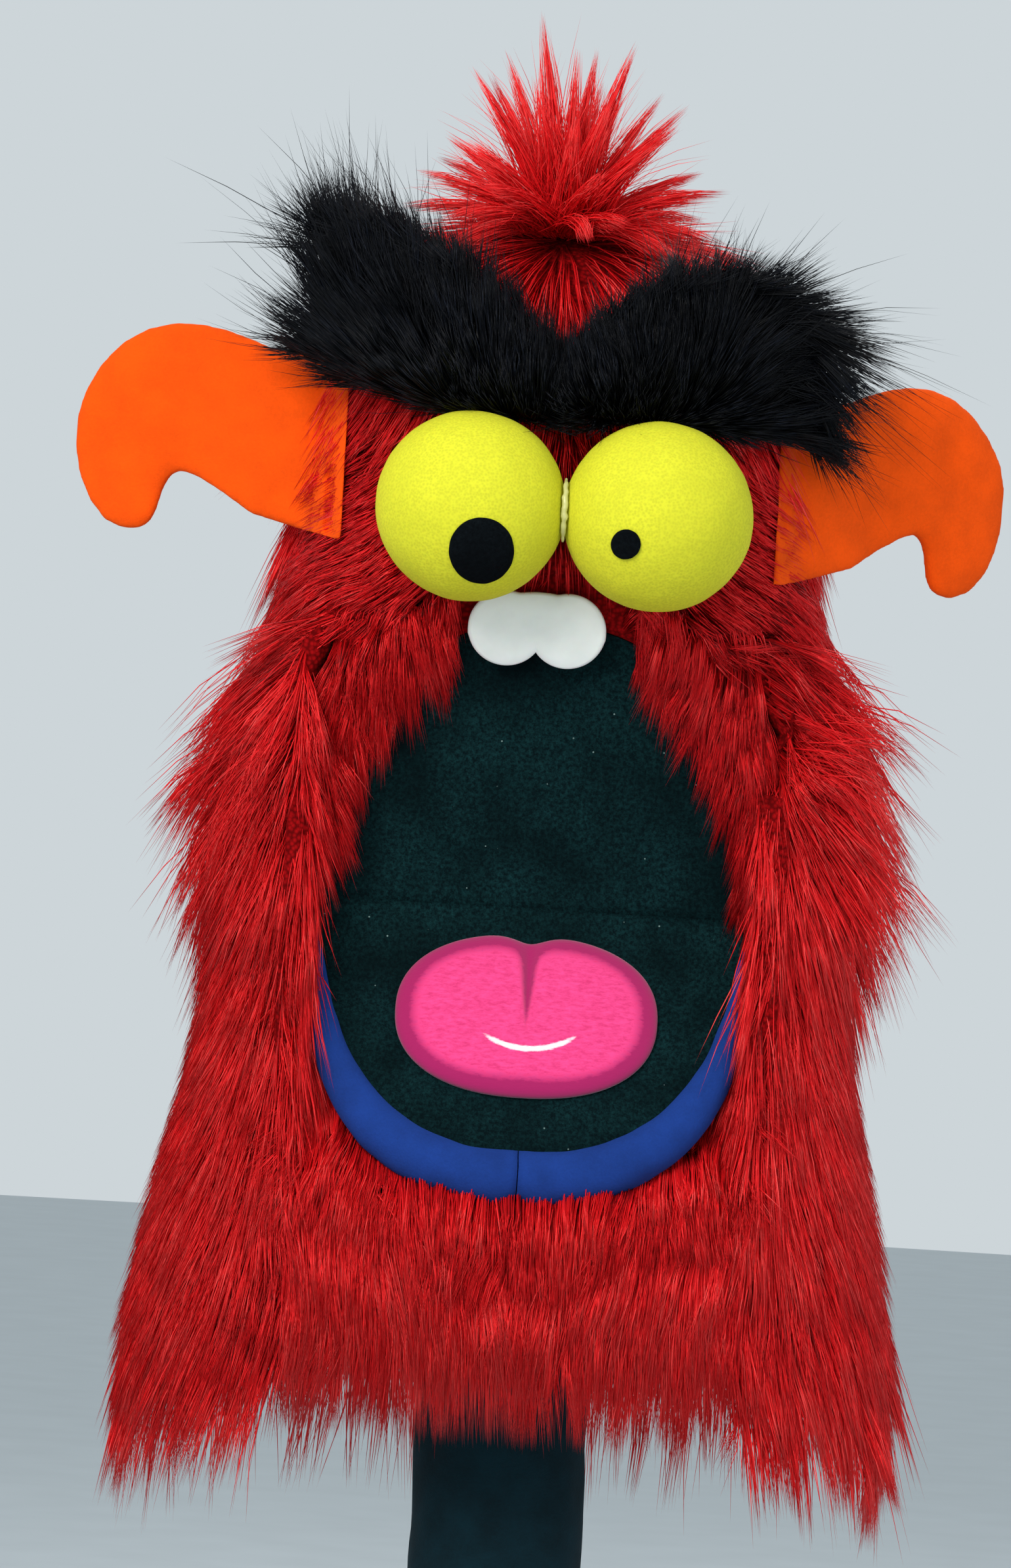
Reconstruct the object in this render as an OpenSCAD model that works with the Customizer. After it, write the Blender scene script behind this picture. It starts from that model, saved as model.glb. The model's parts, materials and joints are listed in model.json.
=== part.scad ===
// Moving mouth puppet: a long-haired monster head on a black forearm sleeve.
// The sleeve's open end is at the origin, +Z is up and the face looks along -Y.
// Lengths are in millimetres. The puppet is shown with its mouth wide open.

/* [Sleeve] */
// Inner radius of the forearm sleeve
sleeve_r = 34; // [30:0.5:36]
// Thickness of the sleeve's fleece
sleeve_t = 2; // [1:0.5:3]
// Height of the folded hem at the sleeve's open end
hem_h = 26; // [15:1:40]
// Height of the wrist above the sleeve's open end
wrist_z = 315; // [290:1:320]

/* [Mouth] */
// Height of the mouth crease above the sleeve's open end
crease_z = 435; // [430:1:460]
// Distance of the mouth crease in front of the sleeve's centre line
crease_forward = 25; // [22:1:28]
// Half of the mouth's width along the crease
mouth_half_w = 84; // [80:1:86]
// Length of the upper mouth board from the crease to the muzzle
upper_len = 121; // [112:1:122]
// Length of the lower mouth board from the crease to the lip
lower_len = 106; // [100:1:107]
// Forward lean of the upper mouth board
upper_lean = 14; // [10:1:16]
// Forward lean of the lower mouth board
lower_lean = 23; // [18:1:24]
// Thickness of the mouth boards
board_t = 2.4; // [1.6:0.2:3]
// Thickness of the felt that lines the mouth
felt_t = 2; // [1:0.5:2.5]
// Radius of the rod that the two boards turn on
rod_r = 1.5; // [1:0.25:2]
// Widest radial thickness of the padded lower lip
lip_w = 22; // [16:1:23]

/* [Eyes and teeth] */
// Diameter of the foam-ball eyes
eye_d = 76; // [66:1:77]
// Height of the eyes' centres above the mouth crease
eye_up = 162; // [160:1:166]
// Radius of the large pupil
big_pupil_r = 12.5; // [8:0.5:14]
// Radius of the small pupil
small_pupil_r = 5.7; // [3:0.1:8]
// Radius of each rounded tooth
tooth_r = 15.5; // [12:0.5:16]

/* [Ears] */
// How far the left ear is swept back from the face
left_ear_sweep = 12; // [0:1:30]
// How far the right ear is swept back from the face
right_ear_sweep = 36; // [20:1:40]
// Thickness of an ear's foam core
ear_core_t = 6; // [3:0.5:8]

/* [Fur] */
// Thickness of the fur with its knitted backing
fur_t = 14; // [10:1:15]
// Thickness of the foam under the fur
foam_t = 12.5; // [9:0.5:13]

/* [Hidden] */
$fn = 48;

gap = 0.3;                 // between neighbours that aren't fixed face to face
run_fit = 0.05;            // radial clearance of the lower loops on the rod
wrist_gap = 24;            // soft fleece that bends at the wrist, between the two solids
board_start = 8;           // the boards and felts stop short of the crease, so they can close
felt_start = 22;
mouth_power = 2.35;        // squareness of the mouth's outline
hood_power = 2.4;          // squareness of the head seen from above
hood_sides = 32;
hood_floor = -240;         // lowest fur, from the crease
crown_floor = 180;         // the crown panel starts here, from the crease
side_seam = 92;            // half the width of the face and bib panels
bib_floor = -205;          // the bib ends higher than the sides
back_seam = 20;            // depth of the seam between the side and back panels
foam_floor = -20;          // the foam of the head ends here, from the crease
eye_y = -74;
eye_x = eye_d / 2 - 0.5;
eyes_aside = 3;            // the pair of eyes sits a little off the middle
ear_root_x = 110;
ear_root_y = 0;
left_ear_up = 182;
right_ear_up = 174;
fleece_t = 2;
crease = [0, -crease_forward, crease_z];

// Half width, front and back of the fur's outer surface by height from the crease
hood_half_w = [
    [-240, 150], [-190, 156], [-130, 146], [-80, 134], [-30, 126], [30, 127], [80, 118],
    [130, 106], [180, 102], [220, 97], [250, 84], [272, 62], [284, 36], [289, 10]
];
hood_front = [
    [-240, -80], [-190, -77], [-130, -67], [-80, -60], [-30, -53], [30, -50], [80, -47],
    [130, -50], [180, -53], [220, -50], [250, -38], [272, -19], [284, -1], [289, 11]
];
hood_rear = [
    [-240, 110], [-190, 112], [-130, 107], [-80, 100], [-30, 95], [30, 93], [80, 92],
    [130, 91], [180, 90], [220, 85], [250, 73], [272, 53], [284, 33], [289, 19]
];
hood_levels = [
    -240, -215, -190, -160, -130, -105, -80, -55, -30, 0, 30, 55, 80, 105, 130, 155, 180,
    200, 220, 236, 250, 262, 272, 279, 284, 289
];

// ---- helpers -------------------------------------------------------------------------

function power(v, p) = sign(v) * pow(abs(v), p);
function oval(a, b, n, t) = [a * power(cos(t), 2 / n), b * power(sin(t), 2 / n)];
function unit(v) = v / norm(v);

// A closed solid through a list of rings with equal numbers of points
module skin(rings) {
    n = len(rings[0]);
    last = (len(rings) - 1) * n;
    sides = [
        for (j = [0:len(rings) - 2], i = [0:n - 1])
            let (a = j * n + i, b = j * n + (i + 1) % n)
                each [[a, b + n, a + n], [a, b, b + n]]
    ];
    polyhedron(
        points = [for (r = rings) each r],
        faces = concat([[for (i = [n - 1:-1:0]) i]], sides, [[for (i = [0:n - 1]) last + i]])
    );
}

// Keeps a soft shape as one mesh
module soft() resize([0, 0, 0]) children();

module at_crease() translate(crease) children();
module upper_frame() at_crease() rotate([upper_lean, 0, 0]) children();
module lower_frame() at_crease() rotate([-lower_lean, 0, 0]) children();

// Mouth-shaped outline above (side 1) or below (side -1) the crease, from start outwards
module mouth_outline(half_w, len, start, side) {
    arch = [for (t = [0:7.5:180]) oval(half_w, len * side, mouth_power, t)];
    intersection() {
        polygon(arch);
        translate([-half_w, side > 0 ? start : -len - 1])
            square([2 * half_w, len + 1 - start]);
    }
}

// Stands a flat outline up in the XZ plane, its back face at y = back
module upright(back, thick) {
    translate([0, back, 0]) rotate([90, 0, 0]) linear_extrude(thick) children();
}

// A roll that follows the edge of the mouth, tapering from the middle to its ends
module rim_roll(half_w, len, side, out, y, r_out, r_deep, first, last, end_size) {
    step = (last - first) / 24;
    rings = [
        for (t = [first:step:last + 0.001])
            let (
                p = oval(half_w, len, mouth_power, t),
                q = oval(half_w, len, mouth_power, t + 0.5),
                o = oval(half_w, len, mouth_power, t - 0.5),
                d = unit(q - o),
                n = [d[1], -d[0]],
                k = end_size + (1 - end_size) * sin(t)
            )
                [for (s = [0:36:324])
                    let (m = p + n * (out * k + r_out * k * cos(s)))
                        [m[0], y + r_deep * k * sin(s) * -side, m[1] * side]]
    ];
    skin(rings);
}

// The space inside the fur's outer surface, moved inwards by inset
function hood_ring(z, inset) =
    let (
        drop = inset * max(0, (z - crown_floor) / (289 - crown_floor)),
        w = max(4, lookup(z, hood_half_w) - inset),
        f = lookup(z, hood_front) + inset,
        b = max(f + 6, lookup(z, hood_rear) - inset)
    )
        [for (i = [0:hood_sides - 1])
            let (p = oval(w, (b - f) / 2, hood_power, -360 * i / hood_sides))
                [p[0], p[1] + (f + b) / 2, z - drop]];

module hood_space(inset, floor = hood_floor) {
    skin([for (z = hood_levels) if (z >= floor) hood_ring(z, inset)]);
}

module hood_shell() difference() {
    hood_space(0);
    translate([0, 0, -0.5]) hood_space(fur_t);
    translate([-200, -200, hood_floor - 1]) cube([400, 400, 1.5]);
}

// Everything that the mouth needs clear in front of the head
module mouth_hole(extra) {
    translate([0, back_seam, 0]) rotate([90, 0, 0]) linear_extrude(140) {
        mouth_outline(mouth_half_w + extra, upper_len + extra + 4, 0, 1);
        mouth_outline(mouth_half_w + extra, lower_len + extra + 11, 0, -1);
    }
}

// A block from one corner to the other, in the crease's frame
module block(low, high) translate(low) cube(high - low);

// The padded roll round the upper mouth, grown by extra, in the crease's frame
module at_mouth_rim(extra) rotate([upper_lean, 0, 0])
    rim_roll(mouth_half_w, upper_len, 1, 6.8, -3, 6.5 + extra, 6.5 + extra, 24, 156, 0.45);

module fur_panel(low, high) color("crimson") soft() at_crease() difference() {
    intersection() {
        hood_shell();
        block(low, high);
    }
    mouth_hole(8);
    at_mouth_rim(0.4);
}

// A webbing band bowed over a flat back, across X, with its feet at y = 0
module bowed_strap(chord, rise, width, thick) {
    r = (chord * chord / 4 + rise * rise) / (2 * rise);
    translate([0, rise - r, -width / 2]) linear_extrude(width) intersection() {
        difference() {
            circle(r);
            circle(r - thick);
        }
        translate([-chord / 2, r - rise]) square([chord, rise]);
    }
}

// One webbing loop round the hinge rod with its tab against the back of a board
module hinge_loop(x, width, bore_r, side) {
    loop_r = bore_r + 1.4;
    difference() {
        union() {
            translate([x - width / 2, 0, 0]) rotate([0, 90, 0]) cylinder(r = loop_r, h = width);
            translate([x - width / 2, board_t / 2, side > 0 ? 0 : -board_start - 8])
                cube([width, 1.2, board_start + 8]);
        }
        translate([x - width / 2 - 1, 0, 0]) rotate([0, 90, 0]) cylinder(r = bore_r, h = width + 2);
    }
}

// ---- sleeve --------------------------------------------------------------------------

module arm_sleeve() color("#0b2a33") difference() {
    cylinder(r = sleeve_r + sleeve_t, h = wrist_z - wrist_gap / 2);
    translate([0, 0, -1]) cylinder(r = sleeve_r, h = wrist_z + 2);
}

module sleeve_hem() color("#08222a") difference() {
    cylinder(r = sleeve_r + sleeve_t + 1.6, h = hem_h);
    translate([0, 0, -1]) cylinder(r = sleeve_r + sleeve_t, h = hem_h + 2);
}

// ---- head ----------------------------------------------------------------------------

// Half width, half depth and depth of the hand's space by height from the crease
pocket_w = [[-108, 35], [-60, 44], [0, 46], [80, 42], [104, 30]];
pocket_d = [[-108, 34], [-60, 28], [0, 24], [80, 17], [104, 12]];
pocket_y = [[-108, 25], [-60, 24], [0, 29], [80, 5], [104, -2]];
pocket_levels = [-108, -84, -60, -30, 0, 40, 80, 94, 104];

function pocket_ring(z, inset) = [
    for (i = [0:23])
        let (p = oval(lookup(z, pocket_w) - inset, lookup(z, pocket_d) - inset, 2.2, -15 * i))
            [p[0], p[1] + lookup(z, pocket_y), z - inset * (z > 0 ? 1 : 0)]
];

// A fleece glove behind the upper board, open below and where the finger strap is
module hand_pocket() color("#0b2a33") soft() difference() {
    at_crease() skin([for (z = pocket_levels) pocket_ring(z, 0)]);
    at_crease() skin([for (z = pocket_levels) pocket_ring(z < -100 ? z - 1 : z, fleece_t)]);
    upper_frame() block([-41, -40, 46], [41, board_t / 2 + 21, 78]);
}

module head_foam() color("khaki") soft() at_crease() difference() {
    translate([0, 0, -2.5]) hood_space(fur_t + 1.2, foam_floor - 20);
    translate([0, 0, -3]) hood_space(fur_t + 1.2 + foam_t, foam_floor - 30);
    block([-200, -200, -100], [200, 200, foam_floor]);
    block([-200, -200, 264], [200, 200, 300]);
    mouth_hole(18);
}

module muzzle_roll() color("#7d0a17") soft() at_crease() at_mouth_rim(0);

module upper_mouth_board() color("#2a2c30") upper_frame()
    upright(board_t / 2, board_t) mouth_outline(mouth_half_w, upper_len, board_start, 1);

module upper_mouth_felt() color("#0f2830") upper_frame()
    upright(-board_t / 2, felt_t) mouth_outline(mouth_half_w, upper_len, felt_start, 1);

module hinge_rod() color("silver") at_crease()
    translate([-mouth_half_w + 6, 0, 0]) rotate([0, 90, 0]) cylinder(r = rod_r, h = 2 * mouth_half_w - 12);

module upper_hinge_loops() color("dimgray") upper_frame() {
    for (x = [-56, 0, 56]) hinge_loop(x, 20, rod_r, 1);
}

module finger_strap() color("#303236") upper_frame()
    translate([0, board_t / 2, 62]) bowed_strap(76, 20, 20, 1.5);

module teeth() color("whitesmoke") upper_frame()
    translate([-5, -11.5, 0]) rotate([90, 0, 0]) linear_extrude(3) intersection() {
        union() {
            for (s = [-1, 1]) translate([s * 12.4, upper_len - 15 + tooth_r]) circle(tooth_r);
            translate([-27, upper_len + 2]) square([54, 14]);
        }
        translate([-40, 0]) square([80, upper_len + 13]);
    }

// A ball with a flat where it meets the other eye and another against the face
module eye() color("#e8e43c") translate([-eye_x, eye_y, eye_up]) difference() {
    sphere(d = eye_d);
    translate([eye_x - 0.2, -50, -50]) cube(100);
    translate([-50, 20, -50]) cube(100);
}

module at_eyes() at_crease() translate([eyes_aside, 0, 0]) children();

module left_eye() at_eyes() eye();
module right_eye() at_eyes() mirror([1, 0, 0]) eye();

// A felt disc that hugs the eye, its centre across and up from the eye's own
module pupil(side, r, across, up) color("black") at_eyes()
    translate([side * eye_x, eye_y, eye_up]) intersection() {
        difference() {
            sphere(d = eye_d + 2.4);
            sphere(d = eye_d + 0.1);
        }
        translate([across, 0, up]) rotate([90, 0, 0]) cylinder(r = r, h = eye_d);
    }

module left_pupil() pupil(-1, big_pupil_r, 5.5, -18.2);
module right_pupil() pupil(1, small_pupil_r, -12.5, -12.5);

module eye_glue_bead() color("ivory") at_eyes() translate([0, eye_y, eye_up]) {
    bead_turn = 28;
    for (a = [-56:bead_turn:28]) hull() {
        rotate([a, 0, 0]) translate([0, -13.2, 0]) sphere(r = 1.2, $fn = 16);
        rotate([a + bead_turn, 0, 0]) translate([0, -13.2, 0]) sphere(r = 1.2, $fn = 16);
    }
}

// A brow that rises from the nose to its outer end, resting on the forehead
module brow(side, reach, rise, droop) color("#10131c") soft() at_crease() difference() {
    skin([
        for (k = [0:12])
            let (
                s = k / 12,
                fat = 0.25 + 0.75 * sin(180 * min(1, 0.12 + 0.8 * s)),
                c = [side * (1 + reach * s), -63 + 34 * s * s, 208 + rise * s - droop * s * s]
            )
                [for (i = [0:15])
                    let (t = -side * 22.5 * i)
                        c + [0, 17 * fat * cos(t), (22 + 12 * s) * fat * sin(t)]]
    ]);
    hood_space(-gap);
    for (e = [-1, 1])
        translate([e * eye_x + eyes_aside, eye_y, eye_up]) sphere(d = eye_d + 0.8, $fn = 40);
}

module brow_left() brow(-1, 112, 48, 10);
module brow_right() brow(1, 108, 62, 52);

// One tapered lock, leaning away from upright towards a compass turn
module lock(turn, lean, len) hull() {
    rotate([0, lean, turn]) {
        translate([0, 0, 6]) sphere(r = 9, $fn = 12);
        translate([0, 0, len - 2]) sphere(r = 2, $fn = 8);
    }
}

// Locks that spring out of the crown like a fountain
module crown_tuft() color("#e0242a") soft() at_crease() difference() {
    translate([-3, 15, 288.5]) {
        sphere(r = 13, $fn = 16);
        lock(0, 0, 74);
        for (i = [0:6]) lock(25 + i * 360 / 7, 41 + 13 * (i % 2), 64 + 16 * (i % 2));
    }
    hood_space(-gap);
}

module fur_crown() fur_panel([-200, -200, crown_floor + gap], [200, 200, 300]);
module fur_face() fur_panel([-side_seam, -200, 110], [side_seam, back_seam, crown_floor]);
module fur_left() fur_panel([-200, -200, hood_floor], [-side_seam - gap, back_seam, crown_floor]);
module fur_right() fur_panel([side_seam + gap, -200, hood_floor], [200, back_seam, crown_floor]);
module fur_back() fur_panel([-200, back_seam + gap, hood_floor], [200, 200, crown_floor]);
module fur_bib() fur_panel([-side_seam, -200, bib_floor], [side_seam, back_seam, -110]);

// ---- jaw -----------------------------------------------------------------------------

module lower_mouth_board() color("#2a2c30") lower_frame()
    upright(board_t / 2, board_t) mouth_outline(mouth_half_w, lower_len, board_start, -1);

module lower_mouth_felt() color("#0f2830") lower_frame()
    upright(-board_t / 2, felt_t) mouth_outline(mouth_half_w, lower_len, felt_start, -1);

module lower_hinge_loops() color("dimgray") lower_frame() {
    for (x = [-28, 28]) hinge_loop(x, 20, rod_r + run_fit, -1);
}

module thumb_strap() color("#303236") lower_frame()
    translate([0, board_t / 2, -62]) bowed_strap(44, 17, 20, 1.5);

// Two fat lobes with a groove between them, thinning towards the throat
module tongue() color("#f53c87") soft() lower_frame() {
    for (side = [-1, 1])
        skin([
            for (k = [0:8])
                let (
                    s = k / 8,
                    v = -15 - 68 * s,
                    w = 27 * pow(sin(180 * min(0.93, 0.24 + 0.66 * s)), 0.5),
                    h = 1.5 + 5.5 * sin(180 * min(0.86, s * 0.8))
                )
                    [for (i = [0:15])
                        let (t = 22.5 * i)
                            [side * 26.2 + w * cos(t),
                             -board_t / 2 - felt_t - gap - h / 2 + h / 2 * sin(t), v]]
        ]);
}

module lip(side) color("#1b3f94") soft() lower_frame() intersection() {
    rim_roll(mouth_half_w + 0.4, lower_len + 0.4, -1, lip_w / 2, -3, lip_w / 2, 12, 10, 170, 0.16);
    translate([side > 0 ? 0.15 : -100.15, -60, -200]) cube([100, 120, 200]);
}

module lip_left() lip(-1);
module lip_right() lip(1);

module jaw_foam() color("khaki") soft() lower_frame()
    rim_roll(mouth_half_w - 8, lower_len - 8, -1, 0, board_t / 2 + 6.4, 6, 6, 20, 160, 0.6);

module chin_fur() color("#a3101f") soft() lower_frame()
    rim_roll(mouth_half_w - 1, lower_len - 1, -1, 5, board_t / 2 + 19, 5, 9, 24, 156, 0.4);

// ---- ears ----------------------------------------------------------------------------

function bezier(a, b, c, d, steps) = [
    for (i = [0:steps - 1])
        let (t = i / steps, u = 1 - t)
            u * u * u * a + 3 * u * u * t * b + 3 * u * t * t * c + t * t * t * d
];

// A broad horn whose tip hooks down, its straight root at x = 0
ear_outline = concat(
    bezier([0, 38], [15, 44], [32, 52], [50, 50.5], 5),
    bezier([50, 50.5], [75, 48], [92, 22], [89.5, -2], 6),
    bezier([89.5, -2], [88, -18], [78, -35], [67, -35], 4),
    bezier([67, -35], [60, -36], [55, -32], [54, -26], 3),
    bezier([54, -26], [52, -16], [50, -10], [45, -10], 3),
    bezier([45, -10], [38, -10], [20, -22], [0, -36], 4),
    [[0, -36]]
);

module ear_place(side) {
    sweep = side < 0 ? left_ear_sweep : right_ear_sweep;
    up = side < 0 ? left_ear_up : right_ear_up;
    at_crease() translate([side * ear_root_x, ear_root_y, up])
        mirror([side < 0 ? 1 : 0, 0, 0]) rotate([0, 0, sweep]) children();
}

module ear_front(side) color("#ff6400") ear_place(side)
    upright(-ear_core_t / 2, fleece_t) polygon(ear_outline);

module ear_core(side) color("#f0a060") ear_place(side)
    upright(ear_core_t / 2, ear_core_t) offset(delta = -3) polygon(ear_outline);

module ear_back(side) color("#e65a00") ear_place(side)
    upright(ear_core_t / 2 + fleece_t, fleece_t) polygon(ear_outline);

module left_ear_front() ear_front(-1);
module left_ear_core() ear_core(-1);
module left_ear_back() ear_back(-1);
module right_ear_front() ear_front(1);
module right_ear_core() ear_core(1);
module right_ear_back() ear_back(1);

arm_sleeve();
sleeve_hem();
hand_pocket();
head_foam();
muzzle_roll();
upper_mouth_board();
upper_mouth_felt();
hinge_rod();
upper_hinge_loops();
finger_strap();
teeth();
left_eye();
right_eye();
left_pupil();
right_pupil();
eye_glue_bead();
brow_left();
brow_right();
crown_tuft();
fur_crown();
fur_face();
fur_left();
fur_right();
fur_back();
fur_bib();
lower_mouth_board();
lower_mouth_felt();
lower_hinge_loops();
thumb_strap();
tongue();
lip_left();
lip_right();
jaw_foam();
chin_fur();
left_ear_front();
left_ear_core();
left_ear_back();
right_ear_front();
right_ear_core();
right_ear_back();
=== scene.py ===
import json
import math

import bpy
import numpy as np
from bpy.props import FloatProperty, FloatVectorProperty, IntProperty, PointerProperty
from mathutils import Matrix, Vector, kdtree, noise
from mathutils.bvhtree import BVHTree


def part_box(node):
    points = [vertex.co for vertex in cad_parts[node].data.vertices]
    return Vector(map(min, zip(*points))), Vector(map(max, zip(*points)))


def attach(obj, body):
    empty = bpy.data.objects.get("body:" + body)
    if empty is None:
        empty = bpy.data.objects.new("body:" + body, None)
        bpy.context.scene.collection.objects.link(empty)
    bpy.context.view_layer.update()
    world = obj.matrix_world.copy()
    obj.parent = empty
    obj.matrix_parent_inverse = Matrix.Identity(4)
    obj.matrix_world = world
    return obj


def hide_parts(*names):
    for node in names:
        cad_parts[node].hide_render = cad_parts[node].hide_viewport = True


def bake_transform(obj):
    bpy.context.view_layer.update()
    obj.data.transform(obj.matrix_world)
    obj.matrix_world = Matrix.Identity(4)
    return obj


bl_info = {
    "name": "Moving mouth puppet",
    "version": (1, 0, 0),
    "blender": (4, 5, 0),
    "location": "3D View > Sidebar > Puppet",
    "description": "Dresses the puppet's frame in fur, fleece, felt and foam",
    "category": "Object",
}

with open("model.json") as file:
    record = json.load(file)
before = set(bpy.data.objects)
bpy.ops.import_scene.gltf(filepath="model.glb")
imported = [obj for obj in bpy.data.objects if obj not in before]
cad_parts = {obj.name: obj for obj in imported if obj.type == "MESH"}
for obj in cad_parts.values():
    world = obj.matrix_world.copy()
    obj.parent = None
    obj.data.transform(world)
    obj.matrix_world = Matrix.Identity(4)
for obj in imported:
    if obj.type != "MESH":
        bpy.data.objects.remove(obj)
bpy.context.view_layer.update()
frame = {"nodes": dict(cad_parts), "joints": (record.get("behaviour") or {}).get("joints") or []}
NODES = frame["nodes"]
JOINTS = {joint["name"]: joint for joint in frame["joints"]}
CREASE = Vector(JOINTS["jaw_close"]["pos_m"])
MM = 0.001


# ---- colours and materials -----------------------------------------------------------


def shade(code):
    """An sRGB hex value as a linear colour."""
    parts = [int(code[i:i + 2], 16) / 255 for i in (1, 3, 5)]
    return (*[p / 12.92 if p <= 0.04045 else ((p + 0.055) / 1.055) ** 2.4 for p in parts], 1.0)


def tint(colour, factor):
    """A colour made lighter or darker."""
    return (*[min(1.0, c * factor) for c in colour[:3]], 1.0)


def add_node(tree, kind, settings=None, inputs=None):
    """Adds a node, sets its properties, and links or sets its inputs by name or number."""
    node = tree.nodes.new(kind)
    for name, value in (settings or {}).items():
        setattr(node, name, value)
    for key, value in (inputs or {}).items():
        if isinstance(value, bpy.types.NodeSocket):
            tree.links.new(value, node.inputs[key])
        else:
            node.inputs[key].default_value = value
    return node


def start_material(name, **surface):
    """A new material with its tree, its shader and the piece's own coordinates."""
    material = bpy.data.materials.new(name)
    material.use_nodes = True
    tree = material.node_tree
    shader = tree.nodes["Principled BSDF"]
    for key, value in surface.items():
        shader.inputs[key.replace("_", " ")].default_value = value
    place = add_node(tree, "ShaderNodeTexCoord").outputs["Object"]
    return material, tree, shader, place


def mix_colours(tree, factor, low, high):
    """A colour between two, by a factor socket."""
    mix = add_node(tree, "ShaderNodeMix", {"data_type": "RGBA"}, {0: factor, 6: low, 7: high})
    return mix.outputs[2]


def ramp(tree, factor, start, end):
    """A factor stretched so that start gives 0 and end gives 1."""
    node = add_node(tree, "ShaderNodeMapRange", {}, {0: factor, 1: start, 2: end})
    return node.outputs[0]


def bump(tree, shader, height, strength, distance):
    """Raises the surface by a height socket."""
    node = add_node(
        tree, "ShaderNodeBump", {}, {"Height": height, "Strength": strength, "Distance": distance}
    )
    tree.links.new(node.outputs["Normal"], shader.inputs["Normal"])


def per_metre(size_mm):
    """The scale of a pattern whose features are this big."""
    return 1000.0 / size_mm


def speckle_noise(tree, place, size_mm, detail, **more):
    """Noise whose blotches are this big."""
    values = {"Vector": place, "Scale": per_metre(size_mm), "Detail": detail, **more}
    return add_node(tree, "ShaderNodeTexNoise", {}, values)


def multiply_add(tree, value, factor, added):
    values = {0: value, 1: factor, 2: added}
    return add_node(tree, "ShaderNodeMath", {"operation": "MULTIPLY_ADD"}, values)


def pile_fibre(name, colour, gloss=0.42):
    """Acrylic fur fibre: smooth extruded strands, so it glints along its length."""
    material, tree, shader, place = start_material(
        name, Base_Color=colour, Roughness=gloss, Specular_IOR_Level=0.18
    )
    grain = speckle_noise(tree, place, 4, 1.0)
    rough = add_node(
        tree, "ShaderNodeMapRange", {},
        {0: grain.outputs["Fac"], 1: 0.3, 2: 0.7, 3: gloss - 0.1, 4: gloss + 0.14},
    )
    tree.links.new(rough.outputs[0], shader.inputs["Roughness"])
    return material


def brushed_fleece(name, colour, worn, nap_mm=1.1, height=0.6, sheen=0.5):
    """Polyester fleece: its raised nap makes a soft, cloudy, matt surface with a pale edge."""
    material, tree, shader, place = start_material(
        name, Roughness=0.95, Specular_IOR_Level=0.2, Sheen_Weight=sheen, Sheen_Roughness=0.6
    )
    shader.inputs["Sheen Tint"].default_value = tint(colour, 1.8)
    cloud = speckle_noise(tree, place, 14, 3.0)
    nap = speckle_noise(tree, place, nap_mm, 4.0, Roughness=0.7)
    both = multiply_add(tree, nap.outputs["Fac"], 0.7, cloud.outputs["Fac"])
    base = mix_colours(tree, ramp(tree, both.outputs[0], 0.6, 1.05), worn, colour)
    tree.links.new(base, shader.inputs["Base Color"])
    bump(tree, shader, nap.outputs["Fac"], height, 0.5 * MM)
    return material


def pressed_felt(name, colour, fleck, lint):
    """Acrylic felt: short fibres pressed in all directions, heathered, with a little stray lint."""
    material, tree, shader, place = start_material(
        name, Roughness=1.0, Specular_IOR_Level=0.05
    )
    fibres = speckle_noise(tree, place, 1.5, 6.0, Roughness=0.8)
    patches = speckle_noise(tree, place, 30, 2.0)
    base = mix_colours(tree, ramp(tree, fibres.outputs["Fac"], 0.42, 0.72), colour, fleck)
    base = mix_colours(tree, ramp(tree, patches.outputs["Fac"], 0.35, 0.8), base, tint(colour, 0.6))
    specks = add_node(tree, "ShaderNodeTexVoronoi", {}, {"Vector": place, "Scale": per_metre(9)})
    speck = ramp(tree, specks.outputs["Distance"], 0.045, 0.03)
    base = mix_colours(tree, speck, base, lint)
    tree.links.new(base, shader.inputs["Base Color"])
    bump(tree, shader, fibres.outputs["Fac"], 0.7, 0.5 * MM)
    return material


def open_cell_foam(name, colour, pit_shade, cell_mm, depth=0.35):
    """Polyurethane foam: burst cells leave a fine, even, matt grain of pits, each pit painted darker as
    painted shade.
    """
    material, tree, shader, place = start_material(
        name, Roughness=0.85, Specular_IOR_Level=0.25, Subsurface_Weight=0.08, Subsurface_Scale=0.004
    )
    cells = add_node(tree, "ShaderNodeTexVoronoi", {}, {"Vector": place, "Scale": per_metre(cell_mm)})
    uneven = speckle_noise(tree, place, 22, 3.0)
    tone = mix_colours(tree, ramp(tree, uneven.outputs["Fac"], 0.3, 0.75), tint(colour, 0.9), colour)
    # The pits are painted darker: painted shade in the cells.
    base = mix_colours(tree, ramp(tree, cells.outputs["Distance"], 0.75, 0.2), tone, pit_shade)
    tree.links.new(base, shader.inputs["Base Color"])
    bump(tree, shader, cells.outputs["Distance"], depth, 0.4 * MM)
    return material


def woven_webbing(name, colour, thread):
    """Polypropylene webbing: a tight plain weave of flat, slightly shiny tapes."""
    material, tree, shader, place = start_material(name, Roughness=0.6, Specular_IOR_Level=0.4)
    heights = []
    for direction in ("X", "Z"):
        wave = add_node(
            tree,
            "ShaderNodeTexWave",
            {"bands_direction": direction},
            {"Vector": place, "Scale": per_metre(1.6) / 20, "Distortion": 0.6},
        )
        heights.append(wave.outputs["Fac"])
    weave = add_node(tree, "ShaderNodeMath", {"operation": "MULTIPLY"}, {0: heights[0], 1: heights[1]})
    base = mix_colours(tree, weave.outputs[0], colour, thread)
    tree.links.new(base, shader.inputs["Base Color"])
    bump(tree, shader, weave.outputs[0], 0.6, 0.4 * MM)
    return material


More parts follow.
